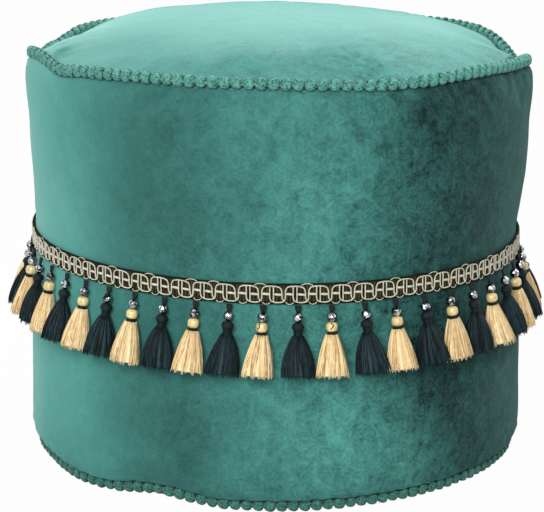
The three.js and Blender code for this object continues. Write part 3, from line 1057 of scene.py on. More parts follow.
def dented(dents: Sequence[Dent], azimuth: Points) -> Points:
    """The sum over the dents of share times exp(-(turn / width)^2).

    Args:
        dents: The dents.
        azimuth: Where the sum is wanted.

    Returns:
        The sum at each azimuth.
    """
    total = np.zeros_like(azimuth)
    for dent in dents:
        turn = (azimuth - dent.azimuth + 180) % 360 - 180
        total += dent.share * np.exp(-((turn / dent.width) ** 2))
    return total


@dataclass(frozen=True)
class Fold:
    """A soft fold of the top panel that runs in from its seam, standing up or, below zero, sunk.

    It starts at an azimuth, runs in as far as its reach and turns by its slant on the way.
    """

    azimuth: float
    reach: float
    width: float
    depth: float
    slant: float


@dataclass(frozen=True)
class DrumForm:
    """The outer form of the covered drum, as the frame has it, without its facets."""

    seam_radius: float = 0.2106
    bulge_radius: float = 0.225
    waist_radius: float = 0.219
    waist_height: float = 0.192
    wall_top: float = 0.3595
    wall_bottom: float = 0.0095
    crown_rise: float = 0.027
    crown_lean: float = 0.0065
    cloth: float = 0.002
    base_edge: float = 0.0096
    sag_depth: float = 0.010
    push_depth: float = 0.005
    upper_fade: float = 0.070
    lower_fade: float = 0.060
    fullest_share: float = 0.6
    upper_roll: float = 2.6
    lower_roll: float = 5.0
    reach_power: float = 6.0
    crown_power: float = 3.0
    upper_shift: float = 0.003
    shift_start: float = 0.2005
    shift_fade: float = 0.050
    braid_slant: float = 0.003
    top_sags: tuple[Dent, ...] = (
        Dent(-60, 7, 0.45), Dent(-52, 13, 0.28), Dent(27, 19, 0.42), Dent(79, 25, 0.85),
        Dent(93, 8, 0.9), Dent(102, 12, 0.8), Dent(-92, 9, 1.2), Dent(-107, 10, 0.9),
        Dent(180, 75, 0.65),
    )
    top_pushes: tuple[Dent, ...] = (Dent(-80, 9, 1.3), Dent(79, 8, 1.3))
    crown_folds: tuple[Fold, ...] = (
        Fold(-86, 0.075, 0.0055, 0.0024, 9), Fold(-80, 0.070, 0.0050, -0.0026, 12),
        Fold(-70, 0.060, 0.0050, 0.0018, 10), Fold(-58, 0.050, 0.0060, -0.0012, -8),
        Fold(70, 0.080, 0.0060, -0.0018, -14), Fold(77, 0.090, 0.0060, 0.0024, -16),
        Fold(88, 0.070, 0.0060, -0.0020, -10), Fold(30, 0.045, 0.0070, 0.0010, 10),
        Fold(-120, 0.060, 0.0060, -0.0014, 8), Fold(140, 0.055, 0.0060, 0.0014, -8),
    )
    base_lifts: tuple[Dent, ...] = (Dent(-27, 9.5, 0.62), Dent(150, 14, 0.25))
    base_pushes: tuple[Dent, ...] = (Dent(-48, 13, 1.4), Dent(-74, 16, 0.8), Dent(64, 24, 0.9))

    def wall_radius(self, height: Points) -> Points:
        """Radius of the wall's face at a height.

        From the waist it grows to the bulge by an S-shaped step over the fullest share of the
        way to a seam, and from there it rolls in to the seam by a superellipse.

        Args:
            height: Heights of the points.

        Returns:
            The radii.
        """
        seam = np.where(height > self.waist_height, self.wall_top, self.wall_bottom)
        share = np.clip((height - self.waist_height) / (seam - self.waist_height), 0, 1)
        swell = smooth(share / self.fullest_share)
        full = self.waist_radius + (self.bulge_radius - self.waist_radius) * swell
        rolled = np.clip((share - self.fullest_share) / (1 - self.fullest_share), 0, 1)
        power = np.where(height > self.waist_height, self.upper_roll, self.lower_roll)
        held = (1 - rolled**power) ** (1 / power)
        rolling = self.seam_radius + (self.bulge_radius - self.seam_radius) * held
        return np.where(share < self.fullest_share, full, rolling)

    def slant(self, azimuth: npt.ArrayLike) -> Points:
        """How much higher the braid lies at an azimuth: -slant sin a, higher at -X than at +X."""
        return -self.braid_slant * np.sin(np.radians(azimuth))

    def crown_height(self, radius: Points) -> Points:
        """Height of the top panel's face: a dome, rise (1 - share^power), lower at its rim.

        Args:
            radius: Radii of the points.

        Returns:
            The heights.
        """
        share = radius / self.seam_radius
        rim = smooth((share - 0.975) / 0.025)
        dome = self.crown_rise * (1 - share**self.crown_power)
        return self.wall_top + self.cloth * (1 - 0.6 * rim) + dome

    def crown_fold(self, azimuth: Points, radius: Points) -> Points:
        """How far the top panel's folds lift it.

        Each is depth exp(-(distance from its line / width)^2), faded in over the first fifth
        of its reach from the seam and out over the whole of it by S-shaped steps.

        Args:
            azimuth: Azimuths of the points.
            radius: Radii of the points.

        Returns:
            The lifts.
        """
        lift = np.zeros(np.broadcast_shapes(azimuth.shape, radius.shape))
        for fold in self.crown_folds:
            run = (self.seam_radius - radius) / fold.reach
            turn = (azimuth - fold.azimuth - fold.slant * run + 180) % 360 - 180
            away = np.radians(turn) * radius / fold.width
            lift += fold.depth * np.exp(-(away**2)) * smooth(run * 5) * (1 - smooth(run))
        return lift

    def settled(self, azimuth: Points, radius: Points, height: Points) -> Points:
        """Places on the cover after it has sagged, lifted and pushed out near its seams.

        Args:
            azimuth: Azimuths of the points.
            radius: Their radii before settling.
            height: Their heights before settling.

        Returns:
            Their places.
        """
        azimuth, radius, height = np.broadcast_arrays(azimuth, radius, height)
        share = np.minimum(1, radius / self.seam_radius)
        reach = share**self.reach_power
        upper = smooth((height - self.wall_top + self.upper_fade) / self.upper_fade)
        flat = self.seam_radius - self.base_edge
        edge = smooth((radius - flat) / self.base_edge)
        lower = smooth((self.wall_bottom + self.lower_fade - height) / self.lower_fade) * edge
        tilt = np.sin(np.radians(azimuth)) * share * (1 - share**2) * upper
        sag = dented(self.top_sags, azimuth) * reach * upper
        lift = dented(self.base_lifts, azimuth) * lower
        push = dented(self.top_pushes, azimuth) * reach * upper
        push = push + dented(self.base_pushes, azimuth) * lower
        settled_height = height + self.sag_depth * (lift - sag) - self.crown_lean * tilt
        places = around(azimuth, radius + self.push_depth * push, settled_height)
        shifted = np.clip((height - self.shift_start) / self.shift_fade, 0, 1)
        places[..., 0] += self.upper_shift * shifted
        return places


def linked(name: str, data: bpy.types.ID) -> bpy.types.Object:
    """A new object that holds the data, linked into the scene at the origin.

    Args:
        name: The object's name.
        data: Its mesh, lamp or camera.

    Returns:
        The object.
    """
    made = bpy.data.objects.new(name, data)
    bpy.context.scene.collection.objects.link(made)
    return made


@dataclass
class Workroom:
    """Makes finished pieces that ride on the frame's bodies."""

    materials: dict[str, bpy.types.Material] = field(default_factory=dict)

    def finish(self, recipe: Any) -> bpy.types.Material:
        """The material of a finish, made once.

        Args:
            recipe: The finish.

        Returns:
            Its material.
        """
        key = getattr(recipe, "name", type(recipe).__name__)
        if key not in self.materials:
            self.materials[key] = recipe.material()
        return self.materials[key]

    def piece(
        self,
        name: str,
        shell: Shell,
        finish: Any,
        body: str = DRUM_BODY,
        stands_for: Sequence[str] = (),
        crease: float | None = None,
    ) -> bpy.types.Object:
        """Makes a piece from a shell.

        Args:
            name: The piece's name.
            shell: Its surface, in its place on the object.
            finish: Its finish.
            body: The body that it rides on.
            stands_for: Nodes of the frame that it replaces.
            crease: Edges that turn by more than this angle are shown sharp.

        Returns:
            The piece.
        """
        made = linked(name, shell.to_mesh(name, crease))
        made.data.materials.append(self.finish(finish))
        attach(made, body)
        if stands_for:
            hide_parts(*stands_for)
        log.info("%s: %d faces", name, len(made.data.polygons))
        return made


@dataclass(frozen=True)
class ClothRun:
    """A cloth simulation of the cover, held at its seams and at the braid.

    The cloth is cut a little fuller than the drum and blown out against its stitches, so it
    puckers beside each seam. Only the puckers are kept: the mean of each row is taken off.
    """

    frames: int = 26
    fullness: float = 0.022
    pressure: float = 3.0
    outward_cap: float = 0.0032
    inward_cap: float = 0.0012
    kept_share: float = 0.85

    def puckers(self, places: Points, pinned_rows: Sequence[int]) -> Points:
        """Simulates the cover.

        Args:
            places: The cover's points as (rows, columns, 3).
            pinned_rows: Rows that are sewn down.

        Returns:
            How far each point moves, as (rows, columns, 3).
        """
        rows, columns, _ = places.shape
        cover = linked("cover_cloth", Shell.rings(places).to_mesh("cover_cloth"))
        pins = cover.vertex_groups.new(name="stitches")
        sewn = (np.asarray(pinned_rows)[:, None] * columns + np.arange(columns)).ravel()
        pins.add(sewn.tolist(), 1.0, "REPLACE")
        cloth = cover.modifiers.new("cloth", "CLOTH")
        fabric = {
            "quality": 6, "mass": 0.3, "tension_stiffness": 18, "compression_stiffness": 18,
            "shear_stiffness": 8, "bending_stiffness": 0.9, "shrink_min": -self.fullness,
            "use_pressure": True, "uniform_pressure_force": self.pressure,
            "vertex_group_mass": pins.name,
        }
        for key, value in fabric.items():
            setattr(cloth.settings, key, value)
        cloth.settings.effector_weights.gravity = 0
        cloth.collision_settings.use_collision = False
        cloth.point_cache.frame_end = self.frames
        scene = bpy.context.scene
        for frame in range(1, self.frames + 1):
            scene.frame_set(frame)
        seen = cover.evaluated_get(bpy.context.evaluated_depsgraph_get())
        moved = np.zeros(rows * columns * 3, np.float32)
        seen.data.vertices.foreach_get("co", moved)
        bpy.data.objects.remove(cover)
        scene.frame_set(1)
        return self._kept(moved.reshape(rows, columns, 3).astype(float) - places, places)

    def _kept(self, shift: Points, places: Points) -> Points:
        """The puckers alone: each row's mean off, held between the caps by a tanh.

        Args:
            shift: How far each point moved in the run.
            places: Where it was.

        Returns:
            How far it moves in the end.
        """
        level = places * LEVEL
        out = level / np.maximum(np.linalg.norm(level, axis=-1, keepdims=True), 1e-9)

        def capped(move: Points) -> Points:
            """A move without its row's mean, held between the caps.

            Args:
                move: A move of each point.

            Returns:
                What is kept of it.
            """
            own = move - move.mean(axis=1, keepdims=True)
            cap = np.where(own > 0, self.outward_cap, self.inward_cap)
            return cap * np.tanh(own / cap)

        radial, rise = capped((shift * out).sum(axis=-1)), capped(shift[..., 2])
        return self.kept_share * (out * radial[..., None] + UP * rise[..., None])


@dataclass
class VelvetCover:
    """The sewn cover: a velvet wall and top panel, and a plain base with the zip's pocket."""

    form: DrumForm
    columns: int = 416
    wall_rows: int = 113
    crown_rows: int = 44
    seam_allowance: float = 0.010
    pocket_length: float = 0.310
    pocket_width: float = 0.016
    pocket_height: float = 0.008
    pocket_corner: float = 17.0
    braid_low: float = 0.1805
    braid_high: float = 0.2035
    run: ClothRun = ClothRun()

    def azimuths(self) -> Points:
        """Azimuths of the cover's columns."""
        return spread(self.columns)

    def profile(self) -> tuple[Points, Points]:
        """Radius and height of each row, up the wall and in over the crown.

        The wall's rows lie closer near its seams, by half of a cosine's spacing, and the
        crown's lie closer near its rim, by the cosine of a quarter turn.

        Returns:
            The radii and the heights.
        """
        share = np.linspace(0, 1, self.wall_rows)
        share = 0.45 * share + 0.55 * (1 - np.cos(math.pi * share)) / 2
        wall = self.form.wall_bottom + share * (self.form.wall_top - self.form.wall_bottom)
        rim = np.linspace(0, 1, self.crown_rows + 1)[1:]
        radius = self.form.seam_radius * np.cos(math.pi / 2 * 0.985 * rim)
        heights = np.concatenate([wall, self.form.crown_height(radius)])
        return np.concatenate([self.form.wall_radius(wall), radius]), heights

    def face(self) -> Points:
        """The velvet's outer face, with its puckers.

        Returns:
            Places as (rows, columns, 3).
        """
        radius, height = self.profile()
        places = self.form.settled(self.azimuths()[None], radius[:, None], height[:, None])
        crown = slice(self.wall_rows, None)
        places[crown, :, 2] += self.form.crown_fold(self.azimuths()[None], radius[crown, None])
        wall = height[: self.wall_rows : 2]
        braided = np.flatnonzero((wall > self.braid_low) & (wall < self.braid_high))
        pinned = [0, *braided.tolist(), len(wall) - 1]
        return places + doubled(self.run.puckers(places[::2, ::2], pinned))

    def wall(self, face: Points) -> Shell:
        """The wall: its outer face, and an inner one a cloth's thickness nearer the axis.

        Args:
            face: The velvet's outer face.

        Returns:
            The wall.
        """
        outer = face[: self.wall_rows]
        inner = outer[::-3] - self.form.cloth * outward(self.azimuths())
        return Shell.rings(np.concatenate([outer, inner]), wrapped=True)

    def crown(self, face: Points) -> Shell:
        """The top panel: its face and an underside a cloth's thickness lower.

        Args:
            face: The velvet's outer face.

        Returns:
            The top panel.
        """
        rim = face[self.wall_rows - 1] + UP * self.form.cloth
        outer = np.concatenate([rim[None], face[self.wall_rows :]])
        under = outer[::-2] - UP * self.form.cloth
        return Shell.rings(np.concatenate([under, outer]))

    def slot_ring(self, length: float, width: float) -> Points:
        """A rectangle as a ring of points, one for each column.

        A point is (length / 2 . clip(sin t / cos c), -width / 2 . clip(cos t / sin c)), where c
        is the corner's own turn.

        Args:
            length: Along X.
            width: Along Y.

        Returns:
            The ring.
        """
        turn, corner = np.radians(self.azimuths()), math.radians(self.pocket_corner)
        across = np.clip(np.sin(turn) / math.cos(corner), -1, 1) * length / 2
        deep = np.clip(-np.cos(turn) / math.sin(corner), -1, 1) * width / 2
        return np.stack([across, deep, np.zeros_like(turn)], axis=-1)

    def base(self) -> Shell:
        """The base panel: a pocket in its middle, flat to near its edge, then turned up.

        The flat is ruled from the pocket's rectangle to the circle where the edge starts, and
        the edge is a quarter round, (r + e sin b, e (1 - cos b)).

        Returns:
            The base panel.
        """
        turn, cloth, edge = self.azimuths(), self.form.cloth, self.form.base_edge
        flat = self.form.seam_radius - edge
        shares = np.array([0.03, 0.1, 0.25, 0.4, 0.55, 0.7, 0.85, 1.0])

        def face(lift: float, grow: float, round_edge: float) -> list[Points]:
            """Rows of one face of the cloth, from the pocket's rim out to the seam.

            Args:
                lift: Height of the flat.
                grow: How much wider the pocket is.
                round_edge: Radius of the turned-up edge.

            Returns:
                The rows.
            """
            long, wide = self.pocket_length + 2 * grow, self.pocket_width + 2 * grow
            rim, lip = self.slot_ring(long, wide), self.slot_ring(long + cloth, wide + cloth)
            rows = [rim + UP * self.pocket_height, rim + UP * (lift + cloth), lip + UP * lift]
            circle = around(turn, flat, lift)
            rows += [(1 - share) * rows[2] + share * circle for share in shares]
            for bend in np.radians([15, 30, 45, 60, 75, 90]):
                reach = flat + round_edge * math.sin(bend)
                height = lift + round_edge * (1 - math.cos(bend))
                rows.append(self.form.settled(turn, reach, height))
            return rows

        outer = face(0.0, 0.0, edge)
        inner = face(cloth, cloth, edge - cloth)
        return Shell.rings(np.stack(outer + inner[::-1]), wrapped=True)

    def build(self, room: Workroom) -> list[bpy.types.Object]:
        """Args:
            room: The workroom that makes the pieces.

        Returns:
            The three pieces.
        """
        face = self.face()
        velvet = Velvet()
        lining = PlainCloth("base_lining", paint(38, 52, 50), paint(14, 22, 22))
        wall, crown, base = (
            room.piece(name, shell, finish, stands_for=[node])
            for name, shell, finish, slot, node in (
                ("velvet_side_wall", self.wall(face), velvet, "velvet", "side_wall"),
                ("velvet_top_panel", self.crown(face), velvet, "velvet", "top_panel"),
                ("lining_base_panel", self.base(), lining, "base_cloth", "base_panel"),
            )
        )
        return [wall, crown, base]


@dataclass
class CushionFilling:
    """The firm cushion that fills the cover, with a groove over the zip's pocket."""

    cover: VelvetCover
    slack: float = 0.0036
    groove_room: float = 0.003
    floor_gap: float = 0.0004
    roll_height: float = 0.02
    firmness: float = 0.95

    def shell(self) -> Shell:
        """The drum's own form drawn in by the slack, from the groove round to the crown.

        Returns:
            The cushion.
        """
        form, turn = self.cover.form, self.cover.azimuths()
        room = 2 * (form.cloth + self.groove_room)
        top = self.cover.pocket_height + self.groove_room
        ring = self.cover.slot_ring(self.cover.pocket_length + room, self.cover.pocket_width + room)
        spine = ring * np.array([0.97, 0.1, 0]) + UP * top
        floor = form.cloth + self.floor_gap
        rows = [spine, ring + UP * top, ring + UP * floor]
        flat = form.seam_radius - form.base_edge - self.slack
        circle = around(turn, flat, floor)
        rows += [(1 - share) * rows[2] + share * circle for share in (0.1, 0.3, 0.6, 0.85, 1.0)]
        radius, height = self.cover.profile()
        radius, height = radius[2::2], height[2::2]
        share = smooth((height - form.wall_bottom) / self.roll_height)
        drawn = np.minimum(radius - self.slack, flat + (radius - flat) * share)
        near_top = smooth((height - form.wall_top + self.roll_height) / self.roll_height)
        lowered = height - self.slack * near_top
        rows += [form.settled(turn, r, h) for r, h in zip(drawn, lowered)]
        return Shell.rings(np.stack(rows))

    def build(self, room: Workroom) -> bpy.types.Object:
        """Makes the cushion.

        Args:
            room: The workroom that makes the pieces.

        Returns:
            The cushion's piece.
        """
        calico = PlainCloth("cushion_calico", paint(226, 218, 200), paint(176, 166, 146))
        made = room.piece(
            "cushion_filling", self.shell(), calico, stands_for=["inner_cushion"]
        )
        return made


@dataclass
class BallTrim:
    """A row of knotted yarn balls on a cord, caught in one seam of the cover."""

    form: DrumForm
    seam: Seam
    count: int = 138
    width: float = 0.0098
    depth: float = 0.0088
    height: float = 0.0102
    lean: float = 13.0
    lean_spread: float = 5.0
    squareness: float = 0.78
    stand_out: float = 0.0041
    rise: float = 0.0043
    cord_radius: float = 0.0026
    columns: int = 14
    rows: int = 9
    pole: float = 78.0
    knot_depth: float = 0.045
    uneven: float = 0.05
    floor_gap: float = 0.0002

    def seam_place(self, azimuth: Points) -> Points:
        """The line that the balls' centres follow, a little outside the seam.

        Args:
            azimuth: Azimuths of the points.

        Returns:
            The places.
        """
        if self.seam is Seam.TOP:
            height = self.form.wall_top + self.rise
        else:
            height = max(self.form.wall_bottom - self.rise, self.height / 2 + self.floor_gap)
        radius = self.form.seam_radius + self.stand_out
        return self.form.settled(azimuth, radius, np.full_like(azimuth, height))

    def balls(self) -> Shell:
        """All the balls at once.

        A ball is a superellipsoid, each of whose cosines and sines is raised to the
        squareness, and its knots are a product of two cosines over its surface. It leans
        with the trim and is a little larger or smaller than the next.

        Returns:
            The balls.
        """
        rng = np.random.default_rng(11 if self.seam is Seam.TOP else 12)
        azimuth = spread(self.count, start=0.5)
        centre = self.seam_place(azimuth)
        along = unit(np.roll(centre, -1, axis=0) - np.roll(centre, 1, axis=0))
        out = outward(azimuth)
        out = unit(out - (out * along).sum(axis=1, keepdims=True) * along)
        up = np.cross(out, along)
        lean = np.radians(self.lean + self.lean_spread * rng.normal(size=(self.count, 1)))
        side = np.cos(lean) * along - np.sin(lean) * up
        rise = np.sin(lean) * along + np.cos(lean) * up

        def rounded(value: Points) -> Points:
            """The value's size raised to the squareness, with its sign."""
            return np.sign(value) * np.abs(value) ** self.squareness

        tilt = np.radians(np.linspace(-self.pole, self.pole, self.rows))[:, None]
        turn = ring_turns(self.columns)[None]
        knots = 1 + self.knot_depth * np.cos(turn * self.columns / 2) * np.cos(tilt * self.rows)
        across = rounded(np.cos(tilt)) * rounded(np.cos(turn)) * knots * self.width / 2
        deep = rounded(np.cos(tilt)) * rounded(np.sin(turn)) * knots * self.depth / 2
        tall = rounded(np.sin(tilt)) * np.ones_like(turn) * self.height / 2
        grow = 1 + self.uneven * rng.normal(size=(self.count, 1, 1, 1)).clip(-1.5, 1)

        def axis(vectors: Points) -> Points:
            """One direction of each ball, ready to spread over its grid."""
            return vectors[:, None, None, :]

        local = (
            across[None, ..., None] * axis(side)
            + deep[None, ..., None] * axis(out)
            + tall[None, ..., None] * axis(rise)
        )
        return Shell.rings(axis(centre) + grow * local)

    def cord(self) -> Shell:
        """The cord that the balls are knotted on, a tube along the seam.

        Returns:
            The cord.
        """
        azimuth = spread(360)
        rings = tube(self.seam_place(azimuth), self.cord_radius, 8, outward(azimuth), wrapped=True)
        return Shell.rings(rings, wrapped=True)

    def build(self, room: Workroom) -> bpy.types.Object:
        """Makes the trim as one piece. The base one is darker, with painted shade near the floor.

        Args:
            room: The workroom that makes the pieces.

        Returns:
            The piece.
        """
        shell = Shell.joined([self.balls(), self.cord()])
        node = f"{self.seam.value}_ball_trim"
        yarn = KnottedYarn()
        if self.seam is Seam.BASE:
            # The base trim uses a darker copy of the same yarn: painted shade near the floor, with
            # weaker painted light.
            yarn = KnottedYarn(
                "shaded_trim_yarn", hollow=paint(6, 46, 42), crest=paint(74, 134, 122),
                side_painted_light=Stroke(62, 0.215, 0.0, 0.130, 0.08, 0.15),
            )
        name = f"{self.seam.value}_yarn_ball_trim"
        return room.piece(name, shell, yarn, stands_for=[node])


@dataclass
class WaistBraid:
    """The gimp round the waist: a ribbed tape, gold cords interlaced on it, and its edges.

    A motif of the braid is drawn in shares: across, of the distance to the next motif, and
    up, of the tape's height.
    """

    form: DrumForm
    motifs: int = 73
    first_azimuth: float = -12.86
    tape_height: float = 0.017
    tape_thickness: float = 0.0019
    tape_gap: float = 0.00066
    tape_bevel: float = 0.0004
    back_bevel: float = 0.0003
    columns_per_motif: int = 14
    rib_depth: float = 0.00013
    cord_radius: float = 0.00058
    loop_radius: float = 0.00042
    edge_radius: float = 0.00085
    edge_inset: float = 0.0005
    edge_run: float = 137.0
    bar_height: float = 0.00105
    bar_depth: float = 0.00060
    # The gold cord: down the first upright, round under it, up the next motif's left side,
    # over its arch and down its right side.
    cord_shares: Curve = (
        (0.335, 0.860, 0.0), (0.335, 0.620, 0.3), (0.335, 0.330, 0.6), (0.400, 0.160, 0.9),
        (0.620, 0.085, 1.0), (0.860, 0.110, 1.0), (0.985, 0.240, 0.8), (1.000, 0.460, 0.4),
        (1.015, 0.700, 0.6), (1.110, 0.850, 0.9), (1.330, 0.895, 1.0), (1.600, 0.880, 1.0),
        (1.790, 0.790, 0.8), (1.850, 0.600, 0.5), (1.855, 0.360, 0.2), (1.900, 0.200, 0.0),
        (1.985, 0.155, -0.3),
    )
    upright_shares: Curve = (
        (0.495, 0.880, 0.0), (0.495, 0.640, 0.5), (0.495, 0.340, 0.5), (0.495, 0.120, 0.0),
    )
    bar_shares: tuple[Curve, ...] = (
        ((0.035, 0.500, 0.2), (0.110, 0.505, 0.6), (0.230, 0.495, 0.6), (0.310, 0.490, 0.2)),
        ((0.530, 0.490, 0.2), (0.620, 0.485, 0.7), (0.740, 0.475, 0.7), (0.825, 0.470, 0.2)),
    )
    top_loop_shares: Curve = (
        (-0.330, 0.925, -0.4), (-0.200, 0.995, 0.5), (-0.060, 1.010, 0.7), (0.080, 0.985, 0.5),
        (0.170, 0.930, -0.4),
    )
    base_loop_shares: Curve = (
        (0.020, 0.080, -0.4), (0.100, 0.010, 0.4), (0.190, -0.005, 0.6), (0.280, 0.020, 0.4),
        (0.350, 0.090, -0.4),
    )

    def tape_low(self) -> float:
        """Height of the tape's lower edge."""
        return self.form.waist_height - self.tape_height / 2

    def tape_face(self) -> float:
        """Radius of the tape's outer face."""
        return self.form.waist_radius + self.tape_gap + self.tape_thickness

    def drawn(self, shares: Curve, motifs: Points, lift: float) -> Points:
        """Curves of a motif laid on the tape.

        Args:
            shares: Points as across, up and how proud, in shares.
            motifs: Numbers of the motifs that get the curve.
            lift: Height of the curve's middle above the tape where it is fully proud.

        Returns:
            Places as (motifs, steps, 3).
        """
        curve = eased(shares, 5)
        azimuth = self.first_azimuth + 360 / self.motifs * (motifs[:, None] + curve[None, :, 0])
        height = self.tape_low() + self.tape_height * curve[None, :, 1] + self.form.slant(azimuth)
        return around(azimuth, self.tape_face() + lift * (0.55 + 0.45 * curve[None, :, 2]), height)

    def laid(self, shares: Curve, radius: float, sides: int, every: int = 1) -> Shell:
        """Cords along a curve of the motif.

        Args:
            shares: The curve, as for drawn.
            radius: The cords' radius.
            sides: Points round a cord.
            every: 1 for a cord on each motif, 2 for one on every second, and so on.

        Returns:
            The cords.
        """
        motifs = np.arange(0, self.motifs, every, dtype=float)
        paths = self.drawn(shares, motifs, radius)
        rings = tube(paths, radius, sides, unit(paths * LEVEL))
        return Shell.rings(rings, lengths=travelled(paths[0]))

    def tape(self) -> Shell:
        """The tape: a flat ring whose outer face has upright ribs, radius + depth cos(ribs a).

        Returns:
            The tape.
        """
        columns = self.motifs * self.columns_per_motif
        azimuth = spread(columns)
        ribs = self.rib_depth * np.where(np.arange(columns) % 2, 1, -1)
        low, high = self.tape_low(), self.tape_low() + self.tape_height
        back, face = self.form.waist_radius + self.tape_gap, self.tape_face()
        levels = [low + share * self.tape_height for share in (0.06, 0.3, 0.5, 0.7, 0.94)]
        rows = [
            (back, low + self.back_bevel), (face - self.tape_bevel, low),
            *((face + ribs, level) for level in levels),
            (face - self.tape_bevel, high), (back, high - self.back_bevel),
        ]
        ring = np.stack([around(azimuth, radius, height) for radius, height in rows])
        ring[..., 2] += self.form.slant(azimuth)
        return Shell.rings(ring, wrapped=True)

    def edges(self) -> Shell:
        """Two dark cords along the tape's edges, each a tube that swells with its plies.

        Returns:
            The two cords.
        """
        steps = self.motifs * 12
        azimuth = spread(steps)
        swell = self.edge_radius * (1 + 0.10 * np.cos(np.radians(azimuth) * self.motifs * 6))
        shells = []
        for up in (self.edge_inset, self.tape_height - self.edge_inset):
            height = self.tape_low() + up + self.form.slant(azimuth)
            path = around(azimuth, self.tape_face() - self.tape_bevel, height)
            rings = tube(path, swell, 7, outward(azimuth), wrapped=True)
            lengths = np.linspace(0, self.edge_run, steps)
            shells.append(Shell.rings(rings, wrapped=True, lengths=lengths))
        return Shell.joined(shells)

    def scroll(self) -> Shell:
        """All the gold cords: the interlaced one and the second upright of each motif.

        Returns:
            The cords.
        """
        cords = [self.laid(self.cord_shares, self.cord_radius, 7)]
        cords.append(self.laid(self.upright_shares, self.cord_radius, 6))
        return Shell.joined(cords)

    def loops(self) -> Shell:
        """Fine loops that stand past the tape: above every second gap, and below each.

        Returns:
            The loops.
        """
        above = self.laid(self.top_loop_shares, self.loop_radius, 5, every=2)
        below = self.laid(self.base_loop_shares, self.loop_radius, 5)
        return Shell.joined([above, below])

    def bars(self) -> Shell:
        """Satin bars across the middle of each motif, plump at their middle.

        Returns:
            The bars.
        """
        shells = []
        for shares in self.bar_shares:
            paths = self.drawn(shares, np.arange(self.motifs, dtype=float), self.bar_depth)
            share = np.linspace(0.12, 0.88, paths.shape[1])
            plump = self.bar_height * np.sin(math.pi * share) ** 0.4
            flatness = self.bar_depth / self.bar_height
            rings = tube(paths, plump, 8, unit(paths * LEVEL), flatness)
            shells.append(Shell.rings(rings, lengths=travelled(paths[0])))
        return Shell.joined(shells)

    def build(self, room: Workroom) -> list[bpy.types.Object]:
        """Makes the tape, its edges and the gold work.

        Args:
            room: The workroom that makes the pieces.

        Returns:
            The five pieces.
        """
        gold = TwistedCord("pale_gold_cord", paint(140, 136, 108), paint(255, 252, 234), twists=9)
        satin = TwistedCord(
            "cream_satin", paint(182, 174, 144), paint(255, 253, 240),
            plies=0, twists=16, gloss=0.28,
        )
        black = TwistedCord(
            "black_edge_cord", paint(3, 6, 5), paint(22, 27, 23), twists=5, gloss=0.8, shine=0.12
        )
        return [
            room.piece(name, shell, finish, stands_for=nodes)
            for name, shell, finish, slot, nodes in (
                ("ribbed_braid_tape", self.tape(), RibbedTape(), "black_weave", ["braid_tape"]),
                ("braid_edge_cords", self.edges(), black, "black_weave", []),
                ("gold_scroll_cords", self.scroll(), gold, "gold_braid", ["braid_scroll"]),
                ("gold_edge_loops", self.loops(), gold, "gold_braid", []),
                ("satin_bars", self.bars(), satin, "gold_braid", []),
            )
        ]


